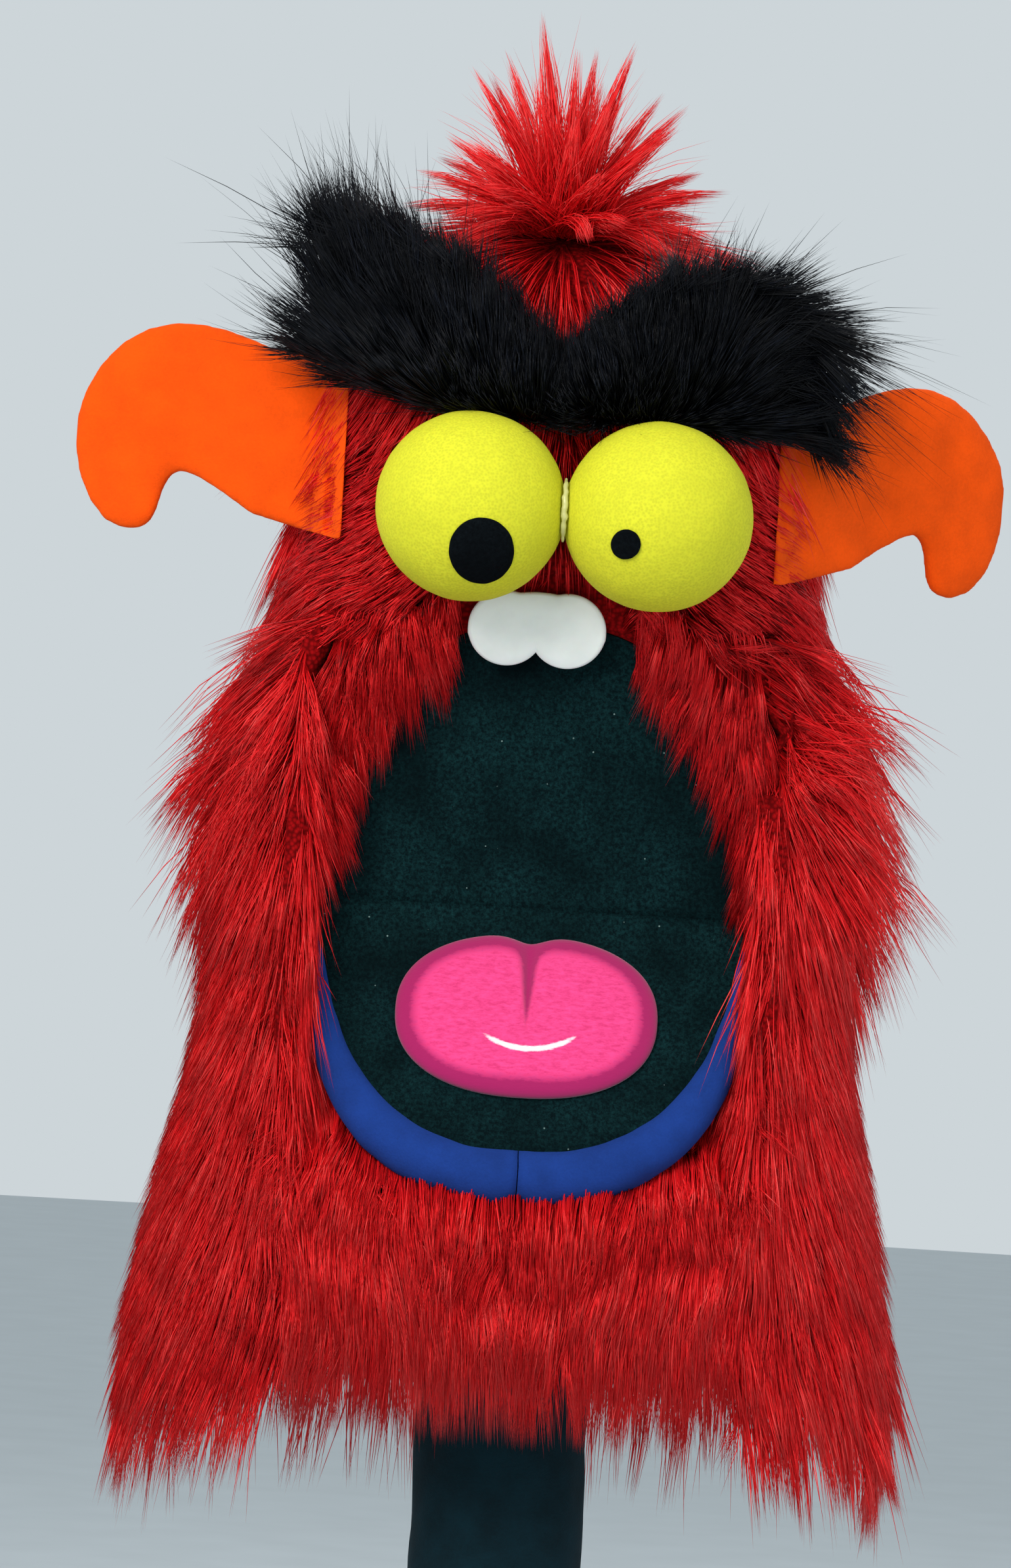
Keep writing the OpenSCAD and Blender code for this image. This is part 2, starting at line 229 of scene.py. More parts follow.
def moulded_board(name, colour):
    """Rigid plastic sheet: faintly pebbled by its mould, with dull scuffs."""
    material, tree, shader, place = start_material(name, Roughness=0.6)
    pebbles = speckle_noise(tree, place, 1.2, 3.0)
    scuffs = speckle_noise(tree, place, 18, 5.0)
    base = mix_colours(tree, ramp(tree, scuffs.outputs["Fac"], 0.45, 0.8), colour, tint(colour, 1.7))
    tree.links.new(base, shader.inputs["Base Color"])
    bump(tree, shader, pebbles.outputs["Fac"], 0.25, 0.2 * MM)
    return material


def drawn_steel(name):
    """Plated steel rod: drawn lengthways, so its fine streaks run along it."""
    material, tree, shader, place = start_material(
        name, Base_Color=shade("#B9BCC0"), Metallic=1.0, Roughness=0.32
    )
    stretched = add_node(
        tree, "ShaderNodeMapping", {},
        {"Vector": place, "Scale": (per_metre(30), per_metre(0.3), per_metre(0.3))},
    )
    streaks = add_node(
        tree, "ShaderNodeTexNoise", {}, {"Vector": stretched.outputs[0], "Scale": 1.0, "Detail": 2.0}
    )
    rough = add_node(tree, "ShaderNodeMapRange", {}, {0: streaks.outputs["Fac"], 3: 0.2, 4: 0.45})
    tree.links.new(rough.outputs[0], shader.inputs["Roughness"])
    return material


# ---- settings ------------------------------------------------------------------------


def colour_prop(name, code, description):
    return FloatVectorProperty(
        name=name, description=description, subtype="COLOR", size=4, min=0.0, max=1.0, default=shade(code)
    )


def length_prop(name, value_mm, description):
    return FloatProperty(
        name=name, description=description, subtype="DISTANCE", unit="LENGTH", min=0.0, default=value_mm * MM
    )


class PUPPET_PG_fur(bpy.types.PropertyGroup):
    crown_pile: length_prop("Crown pile", 44, "Length of the fur on the crown")
    body_pile: length_prop("Body pile", 62, "Length of the fur on the cheeks, sides, back and bib")
    trimmed_pile: length_prop("Trimmed pile", 15, "Length of the clipped fur round the mouth and eyes")
    brow_pile: length_prop("Brow pile", 36, "Length of the black fur of the brow")
    tuft_pile: length_prop("Tuft pile", 80, "Length of the locks at the top of the crown")
    strand: length_prop("Strand", 0.62, "Thickness of a strand at its root")
    density: FloatProperty(
        name="Density", description="Share of the full number of strands", min=0.05, max=1.0, default=1.0,
        subtype="FACTOR",
    )
    red: colour_prop("Red fur", "#EC171D", "The red fur's middle shade")
    black: colour_prop("Black fur", "#04060C", "The black fur's middle shade")
    seed: IntProperty(name="Seed", description="Start of the fur's random numbers", min=0, default=7)


class PUPPET_PG_face(bpy.types.PropertyGroup):
    eye: colour_prop("Eyes", "#E0DE2E", "The foam balls' dye")
    pupil: colour_prop("Pupils", "#06090C", "The pupils' felt")
    tooth: colour_prop("Teeth", "#F3F6F2", "The teeth's craft foam")
    # Black felt, its colour set darker still as painted shade inside the mouth.
    lining: colour_prop("Mouth lining", "#051417", "The mouth's felt")
    tongue: colour_prop("Tongue", "#F0307A", "The tongue's felt")
    tongue_edge: colour_prop("Tongue edge", "#A60C5A", "The marker shading round the tongue")
    lip: colour_prop("Lip", "#173A86", "The lower lip's fleece")
    ear: colour_prop("Ears", "#FF5400", "The ears' fleece")
    sleeve: colour_prop("Sleeve", "#06262F", "The sleeve's fleece")


class PUPPET_PG_stage(bpy.types.PropertyGroup):
    wall: colour_prop("Wall", "#CDD5D9", "The plain wall all round and the floor")
    camera_distance: length_prop("Camera distance", 3500, "From the camera to the puppet's face")
    view_height: length_prop("View height", 621, "Height of what the camera sees at the face")
    roll: FloatProperty(
        name="Roll", description="How far the camera is turned about its own line of sight",
        subtype="ANGLE", unit="ROTATION", default=math.radians(3.4),
    )


# ---- making meshes -------------------------------------------------------------------


def select_only(*objects):
    """Leaves only these objects selected, the first one active."""
    if bpy.context.object and bpy.context.object.mode != "OBJECT":
        bpy.ops.object.mode_set(mode="OBJECT")
    bpy.ops.object.select_all(action="DESELECT")
    for piece in objects:
        piece.select_set(True)
    bpy.context.view_layer.objects.active = objects[0]


def apply_modifier(piece, kind, **settings):
    """Adds a modifier and applies it."""
    select_only(piece)
    modifier = piece.modifiers.new(kind.title(), kind)
    for name, value in settings.items():
        setattr(modifier, name, value)
    bpy.ops.object.modifier_apply(modifier=modifier.name)


def clean_mesh(piece, merge=0.00005):
    """Merges doubles and turns the faces outwards."""
    select_only(piece)
    bpy.ops.object.mode_set(mode="EDIT")
    bpy.ops.mesh.select_all(action="SELECT")
    bpy.ops.mesh.remove_doubles(threshold=merge)
    bpy.ops.mesh.normals_make_consistent(inside=False)
    bpy.ops.object.mode_set(mode="OBJECT")


def rings_to_piece(name, rings, cap_start=True, cap_end=True):
    """A closed tube of quads through rings of points, each an array of the same length."""
    rings = np.asarray(rings, float)
    count, sides = rings.shape[:2]
    faces = []
    for j in range(count - 1):
        for i in range(sides):
            a, b = j * sides + i, j * sides + (i + 1) % sides
            faces.append((a, b, b + sides, a + sides))
    if cap_start:
        faces.append(tuple(range(sides))[::-1])
    if cap_end:
        faces.append(tuple((count - 1) * sides + i for i in range(sides)))
    mesh = bpy.data.meshes.new(name)
    mesh.from_pydata(rings.reshape(-1, 3).tolist(), [], faces)
    piece = bpy.data.objects.new(name, mesh)
    bpy.context.scene.collection.objects.link(piece)
    clean_mesh(piece)
    return piece


def smooth(piece):
    piece.data.polygons.foreach_set("use_smooth", [True] * len(piece.data.polygons))
    piece.data.update()


def move_points(piece, rule):
    """Moves every point of a piece to where rule(point) says."""
    for vertex in piece.data.vertices:
        vertex.co = rule(vertex.co)
    piece.data.update()


def coat(piece, *materials):
    piece.data.materials.clear()
    for material in materials:
        piece.data.materials.append(material)


def hand_over(piece, body, slot, *replaced):
    """Fixes a finished piece to a body in place of CAD nodes."""
    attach(piece, body)
    if replaced:
        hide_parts(*replaced)


def copy_of_node(name, node, merge=0.0002):
    """A welded copy of a CAD node with its flat faces whole again."""
    piece = bpy.data.objects.new(name, NODES[node].data.copy())
    bpy.context.scene.collection.objects.link(piece)
    clean_mesh(piece, merge)
    bpy.ops.object.mode_set(mode="EDIT")
    bpy.ops.mesh.select_all(action="SELECT")
    bpy.ops.mesh.dissolve_limited(angle_limit=math.radians(1))
    bpy.ops.object.mode_set(mode="OBJECT")
    return piece


class BoardFrame:
    """A mouth board's own directions: across it, out from the crease, and into the mouth."""

    def __init__(self, node):
        low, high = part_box(node)
        middle = Vector(((low[0] + high[0]) / 2, (low[1] + high[1]) / 2, (low[2] + high[2]) / 2))
        self.across = Vector((1, 0, 0))
        self.out = Vector((0, middle.y - CREASE.y, middle.z - CREASE.z)).normalized()
        self.inward = self.across.cross(self.out)
        if self.inward.y > 0:
            self.inward = -self.inward
        points = [vertex.co - CREASE for vertex in NODES[node].data.vertices]
        self.length = max(p.dot(self.out) for p in points)
        self.half_width = max(abs(p.x) for p in points)
        self.face = max(p.dot(self.inward) for p in points)

    def point(self, x, out, inward):
        return CREASE + self.across * x + self.out * out + self.inward * inward


UPPER = BoardFrame("upper_mouth_board")
LOWER = BoardFrame("lower_mouth_board")
MOUTH_POWER = 2.35


def mouth_edge(board, turn, grow=0.0):
    """A point of the mouth's outline on a board, turn running from 0 to pi across it."""
    c, s = math.cos(turn), math.sin(turn)
    x = (board.half_width + grow) * math.copysign(abs(c) ** (2 / MOUTH_POWER), c)
    return x, (board.length + grow) * abs(s) ** (2 / MOUTH_POWER)


def rim_roll(name, board, grow, depth, radius_out, radius_deep, first, last, swell, steps=96, sides=20):
    """A padded roll along the mouth's edge, its size set by swell(turn)."""
    rings = []
    for k in range(steps + 1):
        turn = math.radians(first + (last - first) * k / steps)
        x, out = mouth_edge(board, turn)
        before, after = mouth_edge(board, turn - 0.01), mouth_edge(board, turn + 0.01)
        along = Vector((after[0] - before[0], after[1] - before[1], 0)).normalized()
        away = Vector((along.y, -along.x, 0))
        size = swell(turn)
        ring = []
        for i in range(sides):
            angle = 2 * math.pi * i / sides
            reach = grow * size + radius_out * size * math.cos(angle)
            ring.append(
                board.point(
                    x + away.x * reach,
                    out + away.y * reach,
                    depth + radius_deep * size * math.sin(angle),
                )
            )
        rings.append(ring)
    return rings_to_piece(name, rings)


# ---- the stage -----------------------------------------------------------------------


class PUPPET_OT_stage(bpy.types.Operator):
    """Sets the pale backdrop, the soft lights and the camera"""

    bl_idname = "puppet.stage"
    bl_label = "Stage"

    def floor(self, colour):
        """A wide round sheet of matt paper, on which the sleeve stands."""
        bpy.ops.object.select_all(action="DESELECT")
        bpy.ops.mesh.primitive_circle_add(vertices=128, radius=6.0, fill_type="NGON")
        paper = bpy.context.object
        paper.name = "floor"
        bpy.ops.object.mode_set(mode="EDIT")
        bpy.ops.mesh.extrude_region_move(TRANSFORM_OT_translate={"value": (0, 0, -3 * MM)})
        bpy.ops.mesh.select_all(action="SELECT")
        bpy.ops.mesh.normals_make_consistent(inside=False)
        bpy.ops.object.mode_set(mode="OBJECT")
        material, tree, shader, place = start_material("matt paper", Roughness=0.9)
        fibre = speckle_noise(tree, place, 60, 4.0)
        mottle = ramp(tree, fibre.outputs["Fac"], 0.3, 0.7)
        base = mix_colours(tree, mottle, tint(colour, 0.80), tint(colour, 0.84))
        tree.links.new(base, shader.inputs["Base Color"])
        coat(paper, material)

    def light(self, name, power, size, place, aim, colour):
        bpy.ops.object.light_add(type="AREA", location=place)
        lamp = bpy.context.object
        lamp.name = name
        lamp.data.energy = power
        lamp.data.size = size
        lamp.data.color = colour
        lamp.rotation_euler = (aim - Vector(place)).to_track_quat("-Z", "Y").to_euler()

    def execute(self, context):
        settings = context.scene.puppet_stage
        self.floor(settings.wall)
        face = CREASE + Vector((-0.014, 0.0, 0.052))
        self.light("key light", 30, 1.0, (-0.8, -1.6, 1.5), face, (1.0, 0.98, 0.95))
        self.light("fill light", 7, 1.6, (1.3, -1.5, 0.6), face, (0.94, 0.97, 1.0))
        self.light("rim light", 8, 1.0, (0.5, 1.2, 1.6), face, (1.0, 1.0, 1.0))
        world = context.scene.world or bpy.data.worlds.new("room")
        context.scene.world = world
        world.use_nodes = True
        background = world.node_tree.nodes["Background"]
        background.inputs["Color"].default_value = settings.wall
        background.inputs["Strength"].default_value = 1.0
        bpy.ops.object.camera_add()
        camera = context.object
        camera.name = "camera"
        distance = settings.camera_distance
        camera.data.angle = 2 * math.atan(settings.view_height / 2 / (distance - 0.1))
        camera.matrix_world = (
            Matrix.Translation(face + Vector((0, -distance, 0)))
            @ Matrix.Rotation(math.radians(90), 4, "X")
            @ Matrix.Rotation(settings.roll, 4, "Z")
        )
        context.scene.camera = camera
        context.scene.view_settings.view_transform = "Standard"
        return {"FINISHED"}


# ---- sleeve, boards and straps -------------------------------------------------------


class PUPPET_OT_sleeve(bpy.types.Operator):
    """Sews the forearm sleeve and the glove that it ends in"""

    bl_idname = "puppet.sleeve"
    bl_label = "Sleeve"

    def execute(self, context):
        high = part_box("arm_sleeve")[1]
        radius = high[0] - 0.5 * MM
        glove_low, glove_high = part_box("hand_pocket")
        top = Vector(((glove_low[0] + glove_high[0]) / 2, glove_low[1] + 0.019, glove_high[2]))
        levels = np.concatenate(
            [np.arange(0.0, glove_low[2], 0.006), np.linspace(glove_low[2], top.z - 0.004, 36)]
        )
        rings = []
        for z in levels:
            t = min(1.0, max(0.0, (z - glove_low[2]) / (top.z - glove_low[2])))
            palm = t * t * (3 - 2 * t)
            close = math.sqrt(max(0.02, 1 - max(0.0, (t - 0.86) / 0.14) ** 2))
            wide = (radius + 0.009 * math.sin(math.pi * min(1.0, t * 1.3)) * (t > 0)) * close
            deep = (radius * (1 - palm) + 0.014 * palm) * close
            middle = Vector((0, 0.004 * math.sin(math.pi * t) + top.y * palm, z))
            ring = []
            for i in range(72):
                a = 2 * math.pi * i / 72
                fold = noise.noise(Vector((math.cos(a) * 1.3, math.sin(a) * 1.3, z * 26))) * 0.9
                fold += 0.8 * noise.noise(Vector((math.cos(a) * 2.6, math.sin(a) * 2.6, z * 60 + 9)))
                hem = 1.3 * math.exp(-(((z - 0.012) / 0.011) ** 4))
                hem -= 1.1 * math.exp(-(((z - 0.027) / 0.0018) ** 2))
                grow = (fold * (1 - 0.5 * palm) + hem) * MM
                ring.append(middle + Vector(((wide + grow) * math.cos(a), (deep + grow) * math.sin(a), 0)))
            rings.append(ring)
        sleeve = rings_to_piece("fleece_sleeve", rings, cap_start=False)
        apply_modifier(sleeve, "SOLIDIFY", thickness=1.8 * MM, offset=-1)
        smooth(sleeve)
        dye = context.scene.puppet_face.sleeve
        coat(sleeve, brushed_fleece("black polyester fleece", dye, tint(dye, 0.55), sheen=0.22))
        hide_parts("arm_sleeve", "sleeve_hem", "hand_pocket")
        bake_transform(sleeve)
        return {"FINISHED"}


class PUPPET_OT_inner_parts(bpy.types.Operator):
    """Finishes the boards, straps, hinge and foam that the fur covers"""

    bl_idname = "puppet.inner_parts"
    bl_label = "Inner parts"

    def execute(self, context):
        foam = open_cell_foam("cream upholstery foam", shade("#D9CFA6"), shade("#9A8C5E"), 1.4, 0.6)
        webbing = woven_webbing("black woven webbing", shade("#17191C"), shade("#3A3E44"))
        board = moulded_board("black pebbled plastic sheet", shade("#1C1E21"))
        steel = drawn_steel("zinc-plated drawn steel")
        finishes = {
            foam: ("head_foam", "jaw_foam"),
            webbing: ("finger_strap", "thumb_strap", "upper_hinge_loops", "lower_hinge_loops"),
            board: ("upper_mouth_board", "lower_mouth_board"),
            steel: ("hinge_rod",),
        }
        for material, names in finishes.items():
            for name in names:
                coat(NODES[name], material)
        return {"FINISHED"}


# ---- mouth ---------------------------------------------------------------------------


class PUPPET_OT_lining(bpy.types.Operator):
    """Glues the black felt over both boards and the crease between them"""

    bl_idname = "puppet.lining"
    bl_label = "Mouth lining"

    def execute(self, context):
        rows, columns = 72, 56
        reach = []
        for j in range(rows + 1):
            s = -1 + 2 * j / rows
            reach.append(math.copysign(1 - (1 - abs(s)) ** 1.25, s))
        points = []
        for s in reach:
            board = UPPER if s > 0 else LOWER
            length = board.length + (1 if s > 0 else 2) * MM
            out = abs(s) * length
            half = (board.half_width + 2.5 * MM) * max(0.0, 1 - abs(s) ** MOUTH_POWER) ** (1 / MOUTH_POWER)
            round_off = math.exp(-out / 0.012)
            for i in range(columns + 1):
                u = -1 + 2 * i / columns
                x = half * math.sin(u * math.pi / 2)
                lift = 3.4 * MM + 2.8 * MM * round_off
                place = board.point(x, out, lift)
                wave = noise.noise(Vector((x * 30, out * 45 * (1 if s > 0 else -1), 2.0))) * 0.5 * MM
                place += board.inward * wave
                points.append(place)
        faces = [
            (
                j * (columns + 1) + i,
                j * (columns + 1) + i + 1,
                (j + 1) * (columns + 1) + i + 1,
                (j + 1) * (columns + 1) + i,
            )
            for j in range(rows)
            for i in range(columns)
        ]
        mesh = bpy.data.meshes.new("felt_lining")
        mesh.from_pydata([tuple(p) for p in points], [], faces)
        lining = bpy.data.objects.new("felt_lining", mesh)
        context.scene.collection.objects.link(lining)
        clean_mesh(lining)
        apply_modifier(lining, "SOLIDIFY", thickness=1.6 * MM, offset=0)
        smooth(lining)
        # The lining's colour is the black felt's own, set darker still as painted shade inside the mouth.
        dye = context.scene.puppet_face.lining
        coat(lining, pressed_felt("black heathered acrylic felt", dye, shade("#153A3C"), shade("#6E8480")))
        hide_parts("upper_mouth_felt", "lower_mouth_felt")
        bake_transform(lining)
        width, length = 2 * UPPER.half_width, UPPER.length + LOWER.length
        return {"FINISHED"}


class PUPPET_OT_lip(bpy.types.Operator):
    """Pads the blue fleece lip in two halves with a seam between them"""

    bl_idname = "puppet.lip"
    bl_label = "Lower lip"

    def execute(self, context):
        dye = context.scene.puppet_face.lip
        fleece = brushed_fleece("royal blue polyester fleece", dye, tint(dye, 0.72), nap_mm=1.0, sheen=0.35)
        fat = 11.6 * MM

        def swell(turn):
            from_middle = abs(turn - math.pi / 2)
            bulge = 0.12 + 0.88 * max(0.0, math.sin(turn)) ** 0.9
            return bulge * (1 - 0.10 * math.exp(-((from_middle / 0.022) ** 2)))

        lip_halves = (
            ("lip_half_left", 90.05, 176, "lip_left"),
            ("lip_half_right", 4, 89.95, "lip_right"),
        )
        for name, first, last, node in lip_halves:
            half = rim_roll(
                name, LOWER, fat * 0.92, 2.0 * MM, fat, 11 * MM, first, last, swell, steps=80, sides=28
            )

            def pucker(point):
                drift = noise.noise_vector(point * 40) * 0.8 + noise.noise_vector(point * 110) * 0.35
                return point + drift * MM

            move_points(half, pucker)
            smooth(half)
            coat(half, fleece)
            hand_over(half, "jaw", "lip_fleece", node)
        return {"FINISHED"}


class PUPPET_OT_tongue(bpy.types.Operator):
    """Cuts the two-lobed felt tongue, with its marker shading and chalk highlight"""

    bl_idname = "puppet.tongue"
    bl_label = "Tongue"

    def material(self, face):
        material, tree, shader, place = start_material(
            "pink marker-shaded felt", Roughness=0.95, Specular_IOR_Level=0.15,
            Sheen_Weight=0.3, Sheen_Roughness=0.6,
        )
        rubbed = add_node(tree, "ShaderNodeMapping", {}, {"Vector": place, "Scale": (0.35, 1.0, 1.0)})
        fibres = add_node(
            tree, "ShaderNodeTexNoise", {},
            {"Vector": rubbed.outputs[0], "Scale": per_metre(1.3), "Detail": 5.0, "Roughness": 0.75},
        )
        marker = add_node(tree, "ShaderNodeAttribute", {"attribute_name": "marker"}).outputs["Fac"]
        chalk = add_node(tree, "ShaderNodeAttribute", {"attribute_name": "chalk"}).outputs["Fac"]
        grain = multiply_add(tree, fibres.outputs["Fac"], 0.9, marker)
        mottle = ramp(tree, fibres.outputs["Fac"], 0.35, 0.7)
        base = mix_colours(tree, mottle, tint(face.tongue, 0.8), shade("#FF4A94"))
        base = mix_colours(tree, ramp(tree, grain.outputs[0], 0.55, 1.0), base, face.tongue_edge)
        dusted = multiply_add(tree, fibres.outputs["Fac"], 0.8, chalk)
        base = mix_colours(tree, ramp(tree, dusted.outputs[0], 0.85, 1.15), base, shade("#FBE9F2"))
        tree.links.new(base, shader.inputs["Base Color"])
        bump(tree, shader, fibres.outputs["Fac"], 0.5, 0.4 * MM)
        return material

    def execute(self, context):
        low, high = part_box("tongue")
        half_wide = (high[0] - low[0]) / 2
        start, end = 12 * MM, LOWER.length * 0.78
        middle_out, half_long = (start + end) / 2, (end - start) / 2
        groove_end = 55 * MM
        arc_centre, arc_radius, arc_thick = (1 * MM, 31 * MM), 32 * MM, 1.6 * MM
        base_lift = LOWER.face + 3.6 * MM
        select_only(NODES["tongue"])
        bpy.ops.mesh.primitive_uv_sphere_add(segments=240, ring_count=150, radius=1.0)
        tongue = context.object
        tongue.name = "felt_tongue"
        marker, chalk, places = [], [], []
        for vertex in tongue.data.vertices:
            x, y, z = vertex.co
            reach, turn = math.hypot(x, y), math.atan2(y, x)
            power = 2.3
            edge = 1.0 / (abs(math.cos(turn)) ** power + abs(math.sin(turn)) ** power) ** (1 / power)
            edge *= 1 - 0.11 * math.exp(-(((turn + math.pi / 2) / 0.17) ** 2))
            wide = reach * math.cos(turn) * edge * half_wide
            out = middle_out + reach * math.sin(turn) * edge * half_long
            to_edge = (1 - reach) * edge * math.hypot(math.cos(turn) * half_wide, math.sin(turn) * half_long)
            down = min(1.0, max(0.0, (out - start) / (groove_end - start)))
            groove = 0.0
            if down < 1:
                groove = math.exp(-((wide / (3.4 * MM * (1.15 - down))) ** 2)) * (1 - down ** 3)
            full = max(0.0, 1 - reach ** 6) ** 0.5
            height = full * 5.2 * MM * (1 - 0.4 * groove) + 0.7 * MM * math.exp(-((to_edge / (5 * MM)) ** 2))
            places.append(LOWER.point(wide, out, base_lift + (height if z > 0 else 0.0)))
            marker.append(min(1.0, 1.3 * math.exp(-((to_edge / (6 * MM)) ** 2)) + groove))
            off = abs(math.hypot(wide - arc_centre[0], out - arc_centre[1]) - arc_radius) / arc_thick
            bearing = (math.degrees(math.atan2(out - arc_centre[1], wide - arc_centre[0])) - 88) / 42
            chalk.append(math.exp(-(off ** 2)) * max(0.0, 1 - bearing ** 4) if abs(bearing) < 1 else 0.0)
        for vertex, place in zip(tongue.data.vertices, places):
            vertex.co = place
        for name, values in (("marker", marker), ("chalk", chalk)):
            layer = tongue.data.attributes.new(name, "FLOAT", "POINT")
            layer.data.foreach_set("value", values)
        clean_mesh(tongue, 0.00002)
        smooth(tongue)
        coat(tongue, self.material(context.scene.puppet_face))
        hand_over(tongue, "jaw", "tongue_felt", "tongue")
        return {"FINISHED"}


class PUPPET_OT_teeth(bpy.types.Operator):
    """Cuts the two rounded teeth from craft foam"""

    bl_idname = "puppet.teeth"
    bl_label = "Teeth"

    def execute(self, context):
        low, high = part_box("teeth")
        centre_x = (low[0] + high[0]) / 2
        lobe = (high[0] - low[0]) / 2 * 0.556
        lobes = [(centre_x - lobe * 0.8, 0.0), (centre_x + lobe * 0.8, 0.0)]
        top = UPPER.length + 13 * MM
        bottom = UPPER.length - 15 * MM
        count = 120
        outline = []
        for i in range(count):
            angle = 2 * math.pi * i / count
            direction = Vector((math.cos(angle), math.sin(angle)))
            reach = 0.0
            for x, _ in lobes:
                offset = Vector((centre_x - x, (top + bottom) / 2 - bottom - lobe))
                b = offset.dot(direction)
                inside = b * b - offset.length_squared + lobe * lobe
                if inside > 0:
                    reach = max(reach, -b + math.sqrt(inside))
            crown = Vector((direction.x / (lobe * 1.8), direction.y / ((top - bottom) / 2 + 3 * MM))).length
            reach = max(reach, 1 / crown) if direction.y > -0.1 else reach
            outline.append((centre_x + direction.x * reach, (top + bottom) / 2 + direction.y * reach))
        depth = max((v.co - CREASE).dot(UPPER.inward) for v in NODES["teeth"].data.vertices)
        rings = []
        profile = (
            (0.55, 0.0), (0.9, 0.0), (0.985, 0.4), (1.0, 1.4),
            (0.985, 2.5), (0.93, 3.1), (0.6, 3.6), (0.2, 3.8),
        )
        for scale, height in profile:
            ring = []
            for x, out in outline:
                sx = centre_x + (x - centre_x) * scale
                so = (top + bottom) / 2 + (out - (top + bottom) / 2) * scale
                ring.append(UPPER.point(sx, so, depth - 3.2 * MM + height * MM))
            rings.append(ring)
        teeth = rings_to_piece("foam_teeth", rings)
        smooth(teeth)
        white = context.scene.puppet_face.tooth
        material, tree, shader, place = start_material(
            "white closed-cell craft foam", Roughness=0.5, Subsurface_Weight=0.15, Subsurface_Scale=0.003
        )
        cells = speckle_noise(tree, place, 0.8, 3.0)
        smudge = speckle_noise(tree, place, 16, 3.0)
        base = mix_colours(tree, ramp(tree, smudge.outputs["Fac"], 0.4, 0.85), white, tint(white, 0.86))
        tree.links.new(base, shader.inputs["Base Color"])
        bump(tree, shader, cells.outputs["Fac"], 0.12, 0.2 * MM)
        coat(teeth, material)
        hand_over(teeth, "head", "tooth_foam", "teeth")
        return {"FINISHED"}


# ---- eyes ----------------------------------------------------------------------------


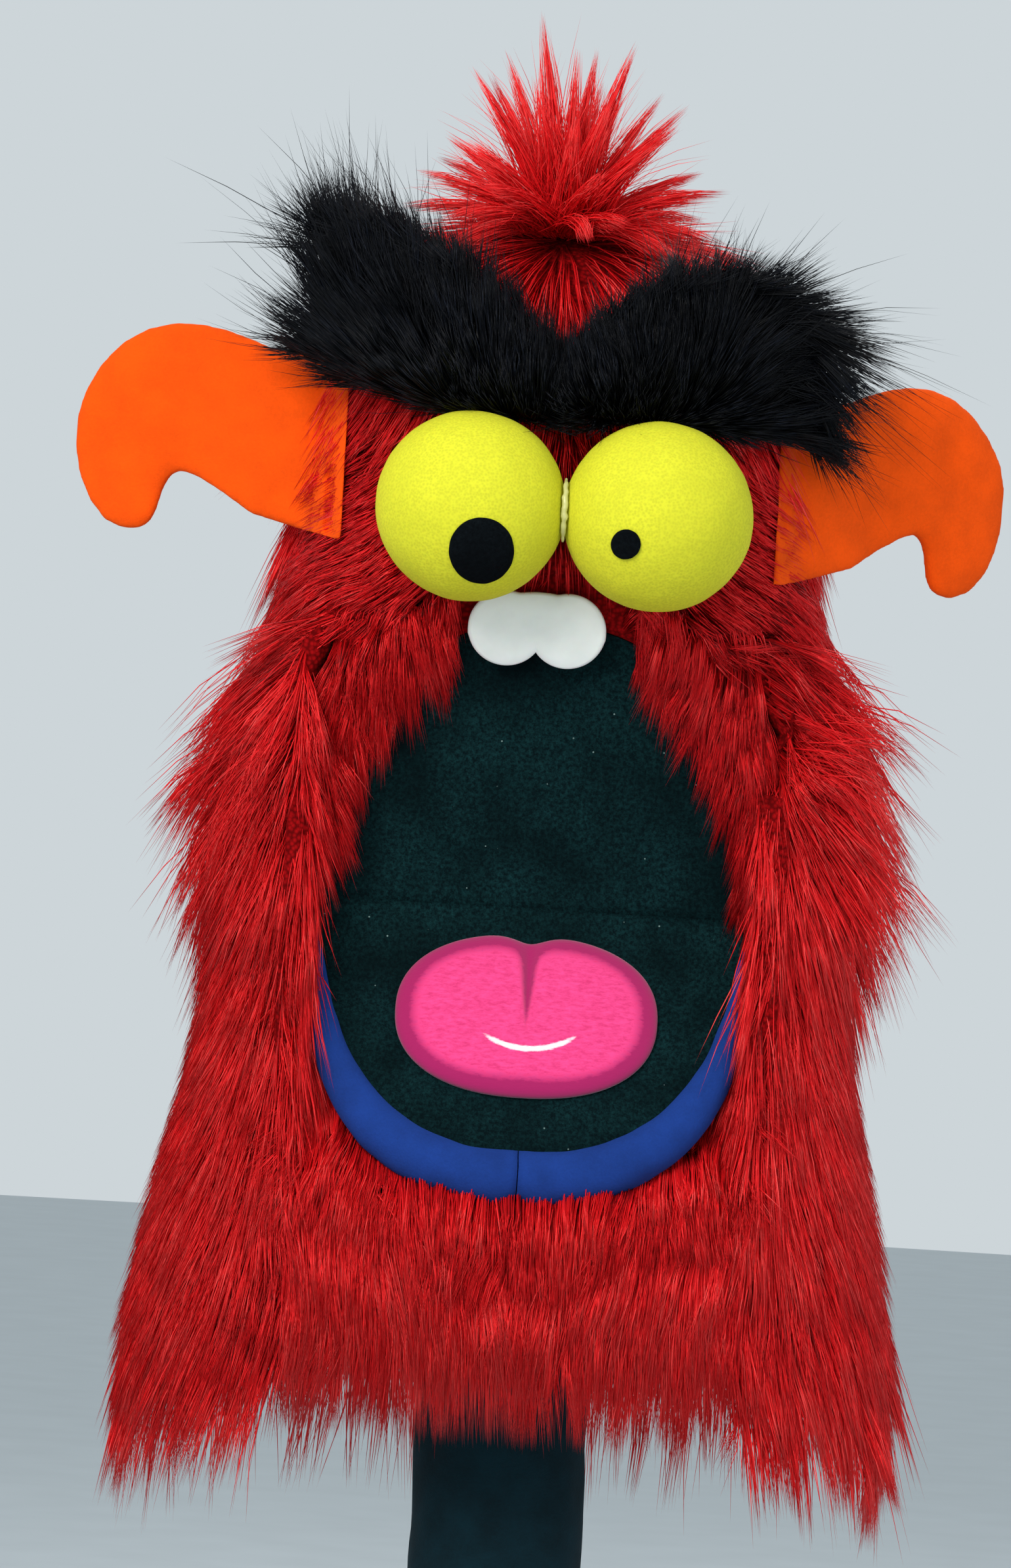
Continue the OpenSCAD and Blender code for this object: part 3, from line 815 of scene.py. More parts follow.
class PUPPET_OT_eyes(bpy.types.Operator):
    """Shapes the foam balls, their felt pupils and the glue between them"""

    bl_idname = "puppet.eyes"
    bl_label = "Eyes"

    def ball(self, side, node, foam):
        low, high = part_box(node)
        radius = (high[2] - low[2]) / 2
        ball_x = low[0] + radius if side < 0 else high[0] - radius
        centre = Vector((ball_x, low[1] + radius, (low[2] + high[2]) / 2))
        select_only(NODES[node])
        bpy.ops.mesh.primitive_uv_sphere_add(segments=128, ring_count=80, radius=radius, location=centre)
        eye = bpy.context.object
        eye.name = f"foam_{node}"
        bpy.ops.object.transform_apply(location=True, rotation=True, scale=True)
        bpy.ops.object.mode_set(mode="EDIT")
        inner = high[0] if side < 0 else low[0]
        for place, direction in (((inner, 0, 0), (-side, 0, 0)), ((0, high[1], 0), (0, 1, 0))):
            bpy.ops.mesh.select_all(action="SELECT")
            bpy.ops.mesh.bisect(plane_co=place, plane_no=direction, use_fill=True, clear_outer=True)
        bpy.ops.object.mode_set(mode="OBJECT")

        def dent(point):
            lump = noise.noise(point * 55 + Vector((side * 3, 0, 0))) * 0.5 + noise.noise(point * 160) * 0.22
            away = (point - centre).normalized()
            near_flat = abs(point.x - inner) < 0.6 * MM or point.y > high[1] - 0.3 * MM
            return point if near_flat else point + away * lump * 0.7 * MM

        move_points(eye, dent)
        smooth(eye)
        coat(eye, foam)
        hand_over(eye, "head", "eye_foam", node)
        return centre, radius

    def pupil(self, node, centre, radius, felt):
        low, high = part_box(node)
        middle = Vector(((low[0] + high[0]) / 2, 0, (low[2] + high[2]) / 2))
        size = (high[2] - low[2]) / 2
        rings = []
        profile = ((1.0, 0.05), (1.02, 0.5), (0.985, 1.0), (0.8, 1.15), (0.5, 1.2), (0.2, 1.2), (0.02, 1.2))
        for scale, height in profile:
            ring = []
            for i in range(96):
                angle = 2 * math.pi * i / 96
                grain_place = Vector((math.cos(angle) * 4, math.sin(angle) * 4, size * 900))
                ragged = 1 + 0.012 * noise.noise(grain_place)
                x = middle.x + size * scale * ragged * math.cos(angle) - centre.x
                z = middle.z + size * scale * ragged * math.sin(angle) - centre.z
                y = -math.sqrt(max(1e-8, radius * radius - x * x - z * z))
                ring.append(centre + Vector((x, y, z)).normalized() * (radius + height * MM))
            rings.append(ring)
        disc = rings_to_piece(f"felt_{node}", rings)
        smooth(disc)
        coat(disc, felt)
        hand_over(disc, "head", "pupil_felt", node)

    def glue(self, centre):
        """A wavy bead of hot glue in the groove between the balls."""
        low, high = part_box("eye_glue_bead")
        rings = []
        steps = 60
        for k in range(steps + 1):
            angle = math.radians(-66 + 140 * k / steps)
            ends = max(0.12, math.sin(math.pi * k / steps)) ** 0.4
            lump = 1 + 0.45 * noise.noise(Vector((k * 0.23, 4.0, 0.0)))
            thick = 1.25 * MM * ends * lump
            reach = 13.2 * MM + 0.5 * MM * noise.noise(Vector((k * 0.17, 1.0, 0.0)))
            sway = 0.35 * MM * noise.noise(Vector((k * 0.2, 7.0, 0)))
            spine = Vector(((low[0] + high[0]) / 2 + sway, centre.y, centre.z))
            away = Vector((0, -math.cos(angle), math.sin(angle)))
            ring = [
                spine + away * (reach + thick * math.cos(t)) + Vector((thick * math.sin(t), 0, 0))
                for t in np.linspace(0, 2 * math.pi, 12, endpoint=False)
            ]
            rings.append(ring)
        bead = rings_to_piece("glue_bead", rings)
        smooth(bead)
        material, tree, shader, place = start_material(
            "hot-melt glue", Base_Color=shade("#E9E7A0"), Roughness=0.22, Transmission_Weight=0.35, IOR=1.48
        )
        flow = speckle_noise(tree, place, 3, 2.0)
        bump(tree, shader, flow.outputs["Fac"], 0.3, 0.3 * MM)
        coat(bead, material)
        hand_over(bead, "head", "glue", "eye_glue_bead")

    def execute(self, context):
        face = context.scene.puppet_face
        foam = open_cell_foam("dyed polyurethane foam ball", face.eye, tint(face.eye, 0.8), 1.1, 0.22)
        felt = pressed_felt("black die-cut felt", face.pupil, shade("#10161A"), shade("#2A3034"))
        centre, radius = self.ball(-1, "left_eye", foam)
        self.pupil("left_pupil", centre, radius, felt)
        centre, radius = self.ball(1, "right_eye", foam)
        self.pupil("right_pupil", centre, radius, felt)
        self.glue(centre)
        return {"FINISHED"}


# ---- ears ----------------------------------------------------------------------------


class PUPPET_OT_ears(bpy.types.Operator):
    """Stuffs the two orange ears and rounds their edges"""

    bl_idname = "puppet.ears"
    bl_label = "Ears"

    def execute(self, context):
        dye = context.scene.puppet_face.ear
        hood = Skin(outside_faces(RED_NODES))
        fleece = brushed_fleece(
            "orange polyester fleece", dye, tint(dye, 0.8), nap_mm=1.2, height=0.5, sheen=0.25
        )
        for side, name in ((-1, "left_ear"), (1, "right_ear")):
            joint = JOINTS[f"{name}_flop"]
            root = Vector(joint["pos_m"])
            parts = [f"{name}_front", f"{name}_core", f"{name}_back"]
            front = NODES[parts[0]].data
            face = max(front.polygons, key=lambda polygon: polygon.area)
            normal = face.normal.copy()
            if normal.y > 0:
                normal = -normal
            slab = bpy.data.objects.new(f"fleece_{name}", front.copy())
            context.scene.collection.objects.link(slab)
            inside = NODES[parts[1]].data.vertices
            own = sum((v.co - root).dot(normal) for v in slab.data.vertices) / len(slab.data.vertices)
            middle = sum((v.co - root).dot(normal) for v in inside) / len(inside)
            outward = Vector((0, 0, 1)).cross(normal)
            if outward.x * side < 0:
                outward = -outward
            thick = 4.4 * MM
            tab = 24 * MM
            nearest = min((v.co - root).dot(outward) for v in slab.data.vertices)
            for vertex in slab.data.vertices:
                off = (vertex.co - root).dot(normal)
                vertex.co += normal * (math.copysign(thick / 2, off - own) - off + middle)
                along = (vertex.co - root).dot(outward)
                if along < nearest + 1.5 * MM:
                    vertex.co -= outward * (tab + 5 * MM * noise.noise(vertex.co * 90))
            apply_modifier(slab, "REMESH", mode="VOXEL", voxel_size=1.1 * MM)
            rim = [
                v.co.copy() for v in slab.data.vertices
                if abs((v.co - root).dot(normal) - middle) < 0.9 * MM
            ]
            tree = kdtree.KDTree(len(rim))
            for i, place in enumerate(rim):
                tree.insert(place, i)
            tree.balance()
            moved = []
            for vertex in slab.data.vertices:
                off = (vertex.co - root).dot(normal) - middle
                flat = vertex.co - normal * off
                distance = tree.find(flat)[2]
                puff = math.sqrt(max(0.0, 1 - (1 - min(1.0, distance / 0.02)) ** 2))
                wave = noise.noise(flat * 34) * 1.4 * MM + noise.noise(flat * 80) * 0.5 * MM
                along = (flat - root).dot(outward)
                level = off / thick * 2 * (1.3 * MM + 3.8 * MM * puff)
                place = flat + normal * (middle + level + wave + (along / 0.09) ** 2 * 3 * MM)
                if along < 0:
                    hit = hood.tree.ray_cast(Vector((place.x, -0.4, place.z)), Vector((0, 1, 0)), 0.6)[0]
                    if hit is not None:
                        place.y = min(place.y, hit.y - (6 * MM if off * normal.y < 0 else 3 * MM))
                moved.append(place)
            for vertex, place in zip(slab.data.vertices, moved):
                vertex.co = place
            apply_modifier(slab, "SMOOTH", factor=0.6, iterations=16)
            smooth(slab)
            coat(slab, fleece)
            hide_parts(*parts)
            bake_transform(slab)
        return {"FINISHED"}


# ---- fur -----------------------------------------------------------------------------

RED_NODES = ["fur_crown", "fur_face", "fur_left", "fur_right", "fur_back", "fur_bib"]
HEM = CREASE.z - 0.182
BIB_HEM = CREASE.z - 0.148
WHORL = Vector((-4 * MM, CREASE.y - 8 * MM, CREASE.z + 0.286))
BIB_BODY = ("head", "jaw", Vector((0, 0, CREASE.z - 0.195)), Vector((0, 0, CREASE.z - 0.122)))


def unit_rows(rows):
    return rows / np.maximum(np.linalg.norm(rows, axis=1, keepdims=True), 1e-9)


def triangle_corners(piece):
    """The corners of a mesh's triangles, as an array."""
    mesh = piece.data
    mesh.calc_loop_triangles()
    points = np.array([v.co for v in mesh.vertices])
    return points[np.array([t.vertices[:] for t in mesh.loop_triangles])]


def outside_faces(names, others=()):
    """The triangles of some CAD nodes that nothing lies in front of, without their top edges.
    
        Beside the mouth only what is close in front counts.
        """
    corners = np.concatenate([triangle_corners(NODES[name]) for name in names])
    blockers = np.concatenate([triangle_corners(NODES[name]) for name in (*names, *others)])
    tree = BVHTree.FromPolygons(
        blockers.reshape(-1, 3).tolist(), np.arange(len(blockers) * 3).reshape(-1, 3).tolist()
    )
    normals = unit_rows(np.cross(corners[:, 1] - corners[:, 0], corners[:, 2] - corners[:, 0]))
    middles = corners.mean(axis=1)
    kept = []
    for middle, normal in zip(middles, normals):
        top_edge = normal[2] > 0.8 and middle[2] < CREASE.z
        beside_mouth = abs(normal[0]) > 0.8 and abs(middle[0]) < 0.097 and middle[1] < CREASE.y
        reach = 0.02 if beside_mouth else 0.5
        start = Vector(middle + normal * 0.0003)
        kept.append(not top_edge and tree.ray_cast(start, Vector(normal), reach)[0] is None)
    return corners[np.array(kept)]


class Skin:
    """Outward triangles, welded, with smooth normals and a tree for finding the nearest place."""

    def __init__(self, corners):
        self.points, index = np.unique(np.round(corners.reshape(-1, 3), 5), axis=0, return_inverse=True)
        self.faces = index.reshape(-1, 3)
        across = np.cross(corners[:, 1] - corners[:, 0], corners[:, 2] - corners[:, 0])
        normals = np.zeros_like(self.points)
        for k in range(3):
            np.add.at(normals, self.faces[:, k], across)
        self.normals = unit_rows(normals)
        self.area = np.linalg.norm(across, axis=1) / 2
        self.tree = BVHTree.FromPolygons(self.points.tolist(), self.faces.tolist())

    def scatter(self, count, rng, keep):
        """Random places where keep allows them, with their outward directions."""
        places, directions, found = [], [], 0
        while found < count:
            faces = self.faces[rng.choice(len(self.faces), size=count, p=self.area / self.area.sum())]
            share = rng.dirichlet((1, 1, 1), count)[:, :, None]
            spots = (self.points[faces] * share).sum(axis=1)
            normals = unit_rows((self.normals[faces] * share).sum(axis=1))
            kept = keep(spots)
            places.append(spots[kept])
            directions.append(normals[kept])
            found += int(kept.sum())
        return np.concatenate(places)[:count], np.concatenate(directions)[:count]

    def settle(self, points, clearance):
        """Moves points that have sunk into the skin back out of it."""
        for i, point in enumerate(points):
            place, normal, _, distance = self.tree.find_nearest(Vector(point))
            depth = (Vector(point) - place).dot(normal)
            if depth < clearance[i] and distance < 0.03:
                points[i] += np.array(normal) * (clearance[i] - depth)


def nearest_leads(roots, share, rng):
    """For each root, the number of the nearest of a few chosen roots."""
    chosen = rng.choice(len(roots), size=max(1, int(len(roots) / share)), replace=False)
    tree = kdtree.KDTree(len(chosen))
    for i in chosen:
        tree.insert(Vector(roots[i]), int(i))
    tree.balance()
    return np.array([tree.find(Vector(p))[1] for p in roots])


class Locks:
    """Strands of fur grown from roots, drawn together into locks."""

    def __init__(self, roots, normals, rng):
        self.roots = roots
        self.normals = normals
        self.rng = rng

    def grow(self, length, comb, lift, droop, skin=None, jitter=0.1, gather=0.42, small=20, big=150):
        """Sets each strand's bend and tip: lift raises it, droop lets its tip fall, gather makes locks."""
        count, rng = len(self.roots), self.rng
        comb = unit_rows(comb - self.normals * np.sum(comb * self.normals, axis=1, keepdims=True))
        lift, droop, length, jitter = (
            np.broadcast_to(value, count)[:, None] for value in (lift, droop, length, jitter)
        )
        lead, chief = nearest_leads(self.roots, small, rng), nearest_leads(self.roots, big, rng)
        sway = rng.normal(0, 1, (count, 3))[chief] + rng.normal(0, 0.6, (count, 3))[lead]
        sway = (sway + rng.normal(0, 0.45, (count, 3))) * jitter
        rise = unit_rows(self.normals * lift + comb * (1 - lift) + sway)
        fall = unit_rows(
            comb * (1 - droop) + self.normals * lift * 0.35 + sway * 1.3 + droop * np.array([0, 0, -1.0])
        )
        length = length * rng.uniform(0.7, 1.12, (count, 1)) * rng.uniform(0.85, 1.12, (count, 1))[lead]
        self.bend = self.roots + rise * length * 0.48
        self.tip = self.bend + fall * length * 0.55
        drawn = gather * rng.uniform(0.6, 1.1, (count, 1)) * (rng.random((count, 1)) > 0.16)
        together = self.tip[lead] * 0.72 + self.tip[chief] * 0.28
        near = np.linalg.norm(together - self.tip, axis=1, keepdims=True) < 0.022
        drawn = drawn * near
        self.tip = self.tip + (together - self.tip) * drawn
        self.bend = self.bend + (self.bend[lead] - self.bend) * drawn * 0.25
        if skin:
            skin.settle(self.bend, rng.uniform(-0.5, 5.0, count) * MM)
            skin.settle(self.tip, rng.uniform(0.0, 9.0, count) * MM)
        self.side = unit_rows(np.cross(self.tip - self.roots, self.normals))
        self.wave = 0.03 * length * rng.uniform(-1, 1, (count, 1))[lead]
        self.phase = rng.uniform(0, 2 * np.pi, (count, 1))[lead]
        self.tone = (
            rng.normal(0, 0.3, count)[chief] + rng.normal(0, 0.35, count)[lead] + rng.normal(0, 0.7, count)
        )
        return self

    def piece(self, name, materials, thick, segments, first_shade, body, slot, replaced=()):
        """The strands as closed three-sided spikes, coloured by their materials from painted shade at the
        root to painted highlight at the tip.
        """
        count, rows = len(self.roots), []
        thick = np.broadcast_to(thick, count)[:, None] * self.rng.uniform(0.7, 1.3, (count, 1))
        for j in range(segments):
            t = j / segments
            u = 1 - t
            spine = u * u * self.roots + 2 * u * t * self.bend + t * t * self.tip
            spine = spine + self.side * self.wave * np.sin(2 * np.pi * 1.1 * t + self.phase) * t
            along = unit_rows(2 * u * (self.bend - self.roots) + 2 * t * (self.tip - self.bend))
            over = unit_rows(np.cross(along, self.side))
            width = thick / 2 * (1 - 0.5 * t)
            for angle in (0.0, 2 * math.pi / 3, 4 * math.pi / 3):
                rows.append(spine + (self.side * math.cos(angle) + over * math.sin(angle)) * width)
        rows.append(self.tip + self.side * self.wave * np.sin(2 * np.pi * 1.1 + self.phase))
        points = np.stack(rows, axis=1)
        per = points.shape[1]
        pattern, band = [(0, 2, 1)], [0]
        for j in range(segments):
            for i in range(3):
                a, b = j * 3 + i, j * 3 + (i + 1) % 3
                if j < segments - 1:
                    pattern += [(a, b, b + 3), (a, b + 3, a + 3)]
                    band += [j, j]
                else:
                    pattern.append((a, b, per - 1))
                    band.append(j)
        faces = (np.arange(count)[:, None, None] * per + np.array(pattern)[None]).reshape(-1, 3)
        along_strand = np.array(band) / max(1, segments - 1)
        first = np.broadcast_to(first_shade, count) + self.tone
        # Each strand steps up the palette towards its tip: painted shade at the root, painted highlight at
        # the tip.
        shades = first[:, None] + along_strand[None] * 1.9
        shades = np.clip(np.round(shades), 0, len(materials) - 1).astype(np.int32).reshape(-1)
        mesh = bpy.data.meshes.new(name)
        mesh.from_pydata(points.reshape(-1, 3), [], faces)
        for material in materials:
            mesh.materials.append(material)
        mesh.polygons.foreach_set("material_index", shades)
        mesh.polygons.foreach_set("use_smooth", np.ones(len(faces), dtype=bool))
        mesh.update()
        piece = bpy.data.objects.new(name, mesh)
        bpy.context.scene.collection.objects.link(piece)
        place_on(piece, body)
        if replaced:
            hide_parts(*replaced)
        return piece


def place_on(piece, body):
    """Fixes a piece to one body, or else leaves it unparented with its place baked into its points."""
    if isinstance(body, str):
        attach(piece, body)
    else:
        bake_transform(piece)


def red_fibres(red):
    """Six shades of the red, lit and shaded copies from painted shade at the roots of the pile to painted
    highlights and glints on its tips.
    """
    # The three darkest steps are painted shade and the two lightest are painted highlights, paled a little
    # more as a painted glint.
    steps = (("shadow", 0.25, 0), ("root", 0.5, 0), ("deep", 0.78, 0), ("middle", 1.0, 0.002))
    steps += (("lit", 1.2, 0.02), ("glint", 1.3, 0.06))
    fibres = []
    for word, factor, pale in steps:
        colour = tint(red, factor)
        colour = (colour[0], colour[1] + pale, colour[2] + pale * 0.85, 1.0)
        fibres.append(pile_fibre(f"red acrylic pile, {word}", colour))
    return fibres


def black_fibres(black):
    # Lit and shaded copies of the black: painted shade in the two darkest, painted highlights in the two
    # lightest, the glint four times as light.
    steps = (("shadow", 0.5), ("root", 0.8), ("middle", 1.0), ("lit", 1.8), ("glint", 4.0))
    return [pile_fibre(f"black acrylic pile, {word}", tint(black, factor), 0.45) for word, factor in steps]


def fur_rng(context, offset):
    return np.random.default_rng(context.scene.puppet_fur.seed * 100 + offset)


class PUPPET_OT_backing(bpy.types.Operator):
    """Cuts the knitted backing that the red fur grows from"""

    bl_idname = "puppet.backing"
    bl_label = "Fur backing"

    def knit(self, red):
        """Warp-knitted backing cloth: rows of small dull loops in a darker dye."""
        material, tree, shader, place = start_material(
            "red knitted backing", Roughness=0.95, Specular_IOR_Level=0.05
        )
        loops = add_node(tree, "ShaderNodeTexVoronoi", {}, {"Vector": place, "Scale": per_metre(1.8)})
        stitch = ramp(tree, loops.outputs["Distance"], 0.2, 0.7)
        base = mix_colours(tree, stitch, tint(red, 0.4), tint(red, 0.14))
        tree.links.new(base, shader.inputs["Base Color"])
        bump(tree, shader, loops.outputs["Distance"], 0.6, 0.5 * MM)
        return material

    def shell(self, name, skin, hem, knit, body, held):
        """The skin sunk under the roots, cut off at its hem and given a thickness."""
        mesh = bpy.data.meshes.new(name)
        mesh.from_pydata((skin.points - skin.normals * 8 * MM).tolist(), [], skin.faces.tolist())
        piece = bpy.data.objects.new(name, mesh)
        bpy.context.scene.collection.objects.link(piece)
        select_only(piece)
        bpy.ops.object.mode_set(mode="EDIT")
        bpy.ops.mesh.select_all(action="SELECT")
        bpy.ops.mesh.remove_doubles(threshold=0.9 * MM)
        bpy.ops.mesh.select_all(action="SELECT")
        bpy.ops.mesh.bisect(plane_co=(0, 0, hem), plane_no=(0, 0, -1), clear_outer=True)
        bpy.ops.object.mode_set(mode="OBJECT")
        apply_modifier(piece, "SOLIDIFY", thickness=2.0 * MM, offset=-1)
        smooth(piece)
        coat(piece, knit)
        place_on(piece, body)

    def execute(self, context):
        knit = self.knit(context.scene.puppet_fur.red)
        hood = [name for name in RED_NODES if name != "fur_bib"]
        self.shell("hood_backing", Skin(outside_faces(hood, ["fur_bib"])), HEM, knit, "head", "stretched")
        self.shell("bib_backing", Skin(outside_faces(["fur_bib"], hood)), BIB_HEM, knit, BIB_BODY, "hung")
        chin = copy_of_node("chin_backing", "chin_fur")
        smooth(chin)
        coat(chin, knit)
        hand_over(chin, "jaw", "red_fur")
        self.muzzle(knit)
        return {"FINISHED"}

    def hood_in_front(self, skin, x, up):
        """Where the hood's front lies, at the first place from here outwards that has any."""
        for step in range(40):
            grow = 1 + 0.01 * step
            hit = skin.tree.ray_cast(Vector((x * grow, -0.4, CREASE.z + up * grow)), Vector((0, 1, 0)), 0.6)
            if hit[0] is not None and hit[0].y < CREASE.y + 0.03:
                return hit
        raise RuntimeError("the muzzle's fabric misses the hood")

    def muzzle(self, knit):
        """The fabric that turns in from the hood to the edge of the mouth."""
        skin = Skin(outside_faces(RED_NODES))
        rings = []
        for k in range(133):
            turn = math.pi * (-0.30 + 1.60 * k / 132)
            if 0 <= turn <= math.pi:
                x, out = mouth_edge(UPPER, turn, 1.5 * MM)
                far_x, far_up = mouth_edge(UPPER, turn, 26 * MM)
                inner = UPPER.point(x, out, 4 * MM)
            else:
                below = -turn if turn < 0 else turn - math.pi
                side = 1 if turn < 0 else -1
                down = 0.125 * below / (0.30 * math.pi)
                far_x, far_up = side * (UPPER.half_width + 22 * MM), -down
                inner = LOWER.point(side * (UPPER.half_width + 7.5 * MM), down, 1 * MM)
            hit = self.hood_in_front(skin, far_x, far_up)
            rings.append(self.ring(inner, hit[0] - hit[1] * 9 * MM, -6 * MM))
        self.turn_in("muzzle_backing", rings, knit, "head", "muzzle_roll")
        rings = []
        for k in range(89):
            turn = math.pi * (0.05 + 0.90 * k / 88)
            x, out = mouth_edge(LOWER, turn, 5 * MM)
            far_x, far_out = mouth_edge(LOWER, turn, 20 * MM)
            hit = self.hood_in_front(skin, far_x, -far_out * 0.92)
            rings.append(self.ring(LOWER.point(x, out - 3 * MM, -9 * MM), hit[0] - hit[1] * 10 * MM, 1 * MM))
        self.turn_in("throat_backing", rings, knit, "jaw")

    def ring(self, inner, outer, swell):
        """Points on a bowed line between two places."""
        middle = (inner + outer) / 2 + Vector((0, swell, 0))
        shares = [i / 10 for i in range(11)]
        return [inner * (1 - t) ** 2 + middle * 2 * t * (1 - t) + outer * t * t for t in shares]

    def turn_in(self, name, rings, knit, body, *replaced):
        """A sheet through the rings, facing forwards."""
        step, rows = len(rings[0]), len(rings) - 1
        faces = [
            (k * step + i, k * step + i + 1, (k + 1) * step + i + 1, (k + 1) * step + i)
            for k in range(rows)
            for i in range(step - 1)
        ]
        mesh = bpy.data.meshes.new(name)
        mesh.from_pydata([tuple(p) for ring in rings for p in ring], [], faces)
        piece = bpy.data.objects.new(name, mesh)
        bpy.context.scene.collection.objects.link(piece)
        clean_mesh(piece)
        if sum(polygon.normal.y * polygon.area for polygon in piece.data.polygons) > 0:
            piece.data.flip_normals()
        apply_modifier(piece, "SOLIDIFY", thickness=1.6 * MM, offset=-1)
        smooth(piece)
        coat(piece, knit)
        hand_over(piece, body, "red_fur", *replaced)


class PUPPET_OT_fur(bpy.types.Operator):
    """Grows the red fur in combed, gathered locks"""

    bl_idname = "puppet.fur"
    bl_label = "Red fur"

    def comb(self, places):
        """The way the pile lies: out from the whorl, out and down the cheeks, then straight down."""
        x, y, up = places[:, 0], places[:, 1] - CREASE.y, places[:, 2] - CREASE.z
        front = np.clip((0.05 - y) / 0.04, 0, 1)
        reach = (np.clip(np.abs(x) / 0.115, 0, 1) ** 0.7) * front
        fall = np.interp(up, [-0.2, -0.12, -0.05, 0.0, 0.06, 0.13, 0.18], [80, 80, 77, 66, 44, 18, 8])
        fall = np.radians(90 - (90 - fall) * reach)
        by_mouth = np.clip((0.118 - np.abs(x)) / 0.02, 0, 1) * np.clip((0.075 - up) / 0.03, 0, 1)
        by_mouth = by_mouth * np.clip((up + 0.15) / 0.03, 0, 1)
        sideways = np.cos(fall) * (1 - by_mouth) - 0.32 * by_mouth
        cheek = np.stack([np.sign(x) * sideways, 0.15 * reach * (1 - by_mouth), -np.sin(fall)], axis=1)
        crown = unit_rows(places - np.array(WHORL))
        high = np.clip((up - 0.175) / 0.035, 0, 1)[:, None]
        return cheek * (1 - high) + crown * high

    def trimmed(self, places):
        """0 where the pile is clipped short round the mouth and eyes, 1 where it is long."""
        x, up = np.abs(places[:, 0]), places[:, 2] - CREASE.z
        half, high = UPPER.half_width + 0.008, UPPER.length + 0.012
        from_mouth = (
            (x / half) ** MOUTH_POWER + (np.clip(up, 0, None) / high) ** MOUTH_POWER
        ) ** (1 / MOUTH_POWER)
        clipped = np.clip((from_mouth - 1.0) / 0.3, 0, 1)
        clipped = np.maximum(clipped, 0.85 * np.clip((0.085 - up) / 0.05, 0, 1))
        near_eyes = np.hypot(x / 0.095, (up - 0.155) / 0.06)
        clipped = np.minimum(clipped, np.clip((near_eyes - 0.9) / 0.35, 0, 1))
        return np.where(places[:, 1] < CREASE.y + 0.01, clipped, 1.0)

    def free(self, places):
        """False under the ears' tabs and behind the teeth."""
        up = places[:, 2] - CREASE.z
        teeth = (np.abs(places[:, 0] + 0.005) < 0.034) & (up < 0.148) & (up > 0.09)
        teeth &= places[:, 1] < CREASE.y
        return ~(self.under_ear(places) | teeth)

    def under_ear(self, places):
        """True where an ear's tab lies on the fur."""
        hidden = np.zeros(len(places), dtype=bool)
        for name in ("left_ear_flop", "right_ear_flop"):
            root = np.array(JOINTS[name]["pos_m"])
            beside = places[:, 0] * np.sign(root[0]) > abs(root[0]) - 0.021
            beside &= places[:, 1] < root[1] + 0.006
            hidden |= beside & (places[:, 2] > root[2] - 0.03) & (places[:, 2] < root[2] + 0.034)
        return hidden

    def execute(self, context):
        fur = context.scene.puppet_fur
        fibres = red_fibres(fur.red)
        whole = Skin(outside_faces(RED_NODES))
        plan = (
            ("crown_locks", ["fur_crown"], 8600, 3, "head", True),
            ("face_locks", ["fur_face"], 5200, 2, "head", True),
            ("left_locks", ["fur_left"], 12000, 3, "head", True),
            ("right_locks", ["fur_right"], 12000, 3, "head", True),
            ("back_locks", ["fur_back"], 12200, 3, "head", True),
            ("back_under_locks", ["fur_back"], 9000, 2, "head", False),
            ("bib_locks", ["fur_bib"], 12000, 3, BIB_BODY, True),
        )
        for index, (name, nodes, count, segments, body, shown) in enumerate(plan):
            rng = fur_rng(context, index)
            skin = Skin(outside_faces(nodes, [n for n in RED_NODES if n not in nodes]))
            lowest = BIB_HEM if nodes == ["fur_bib"] else HEM
            roots, normals = skin.scatter(
                int(count * fur.density), rng, lambda spots: (spots[:, 2] > lowest) & self.free(spots)
            )
            up = roots[:, 2] - CREASE.z
            long = self.trimmed(roots)
            crown = np.clip((up - 0.18) / 0.04, 0, 1)
            pile = fur.body_pile * (1 - crown) + fur.crown_pile * crown
            length = fur.trimmed_pile + (pile - fur.trimmed_pile) * long
            flare = np.exp(-(((up - 0.075) / 0.055) ** 2))
            flare = flare * np.clip((np.abs(roots[:, 0]) - 0.075) / 0.03, 0, 1)
            lift = np.where(np.abs(roots[:, 0]) < 0.094, 0.07, 0.17) + 0.36 * flare * long
            droop = 0.5 - 0.3 * flare
            droop = np.where(crown > 0, droop * (1 - crown) + 0.12 * crown, droop)
            jitter = 0.05 + 0.10 * flare + 0.06 * crown
            locks = Locks(roots - normals * 7 * MM, normals, rng)
            locks.grow(
                length + 4 * MM, self.comb(roots), lift, droop * long, whole, jitter,
                0.25 + 0.3 * long[:, None],
            )
            thick = fur.strand * (1 if shown else 1.5)
            # Clipped pile round the mouth and eyes starts lower on the palette: painted shade there.
            start = 1.3 + 0.7 * long
            locks.piece(name, fibres, thick, segments, start, body, "red_fur", nodes if shown else ())
        self.muzzle_locks(context, fibres)
        self.throat_locks(context, fibres, whole)
        self.chin_locks(context, fibres)
        return {"FINISHED"}

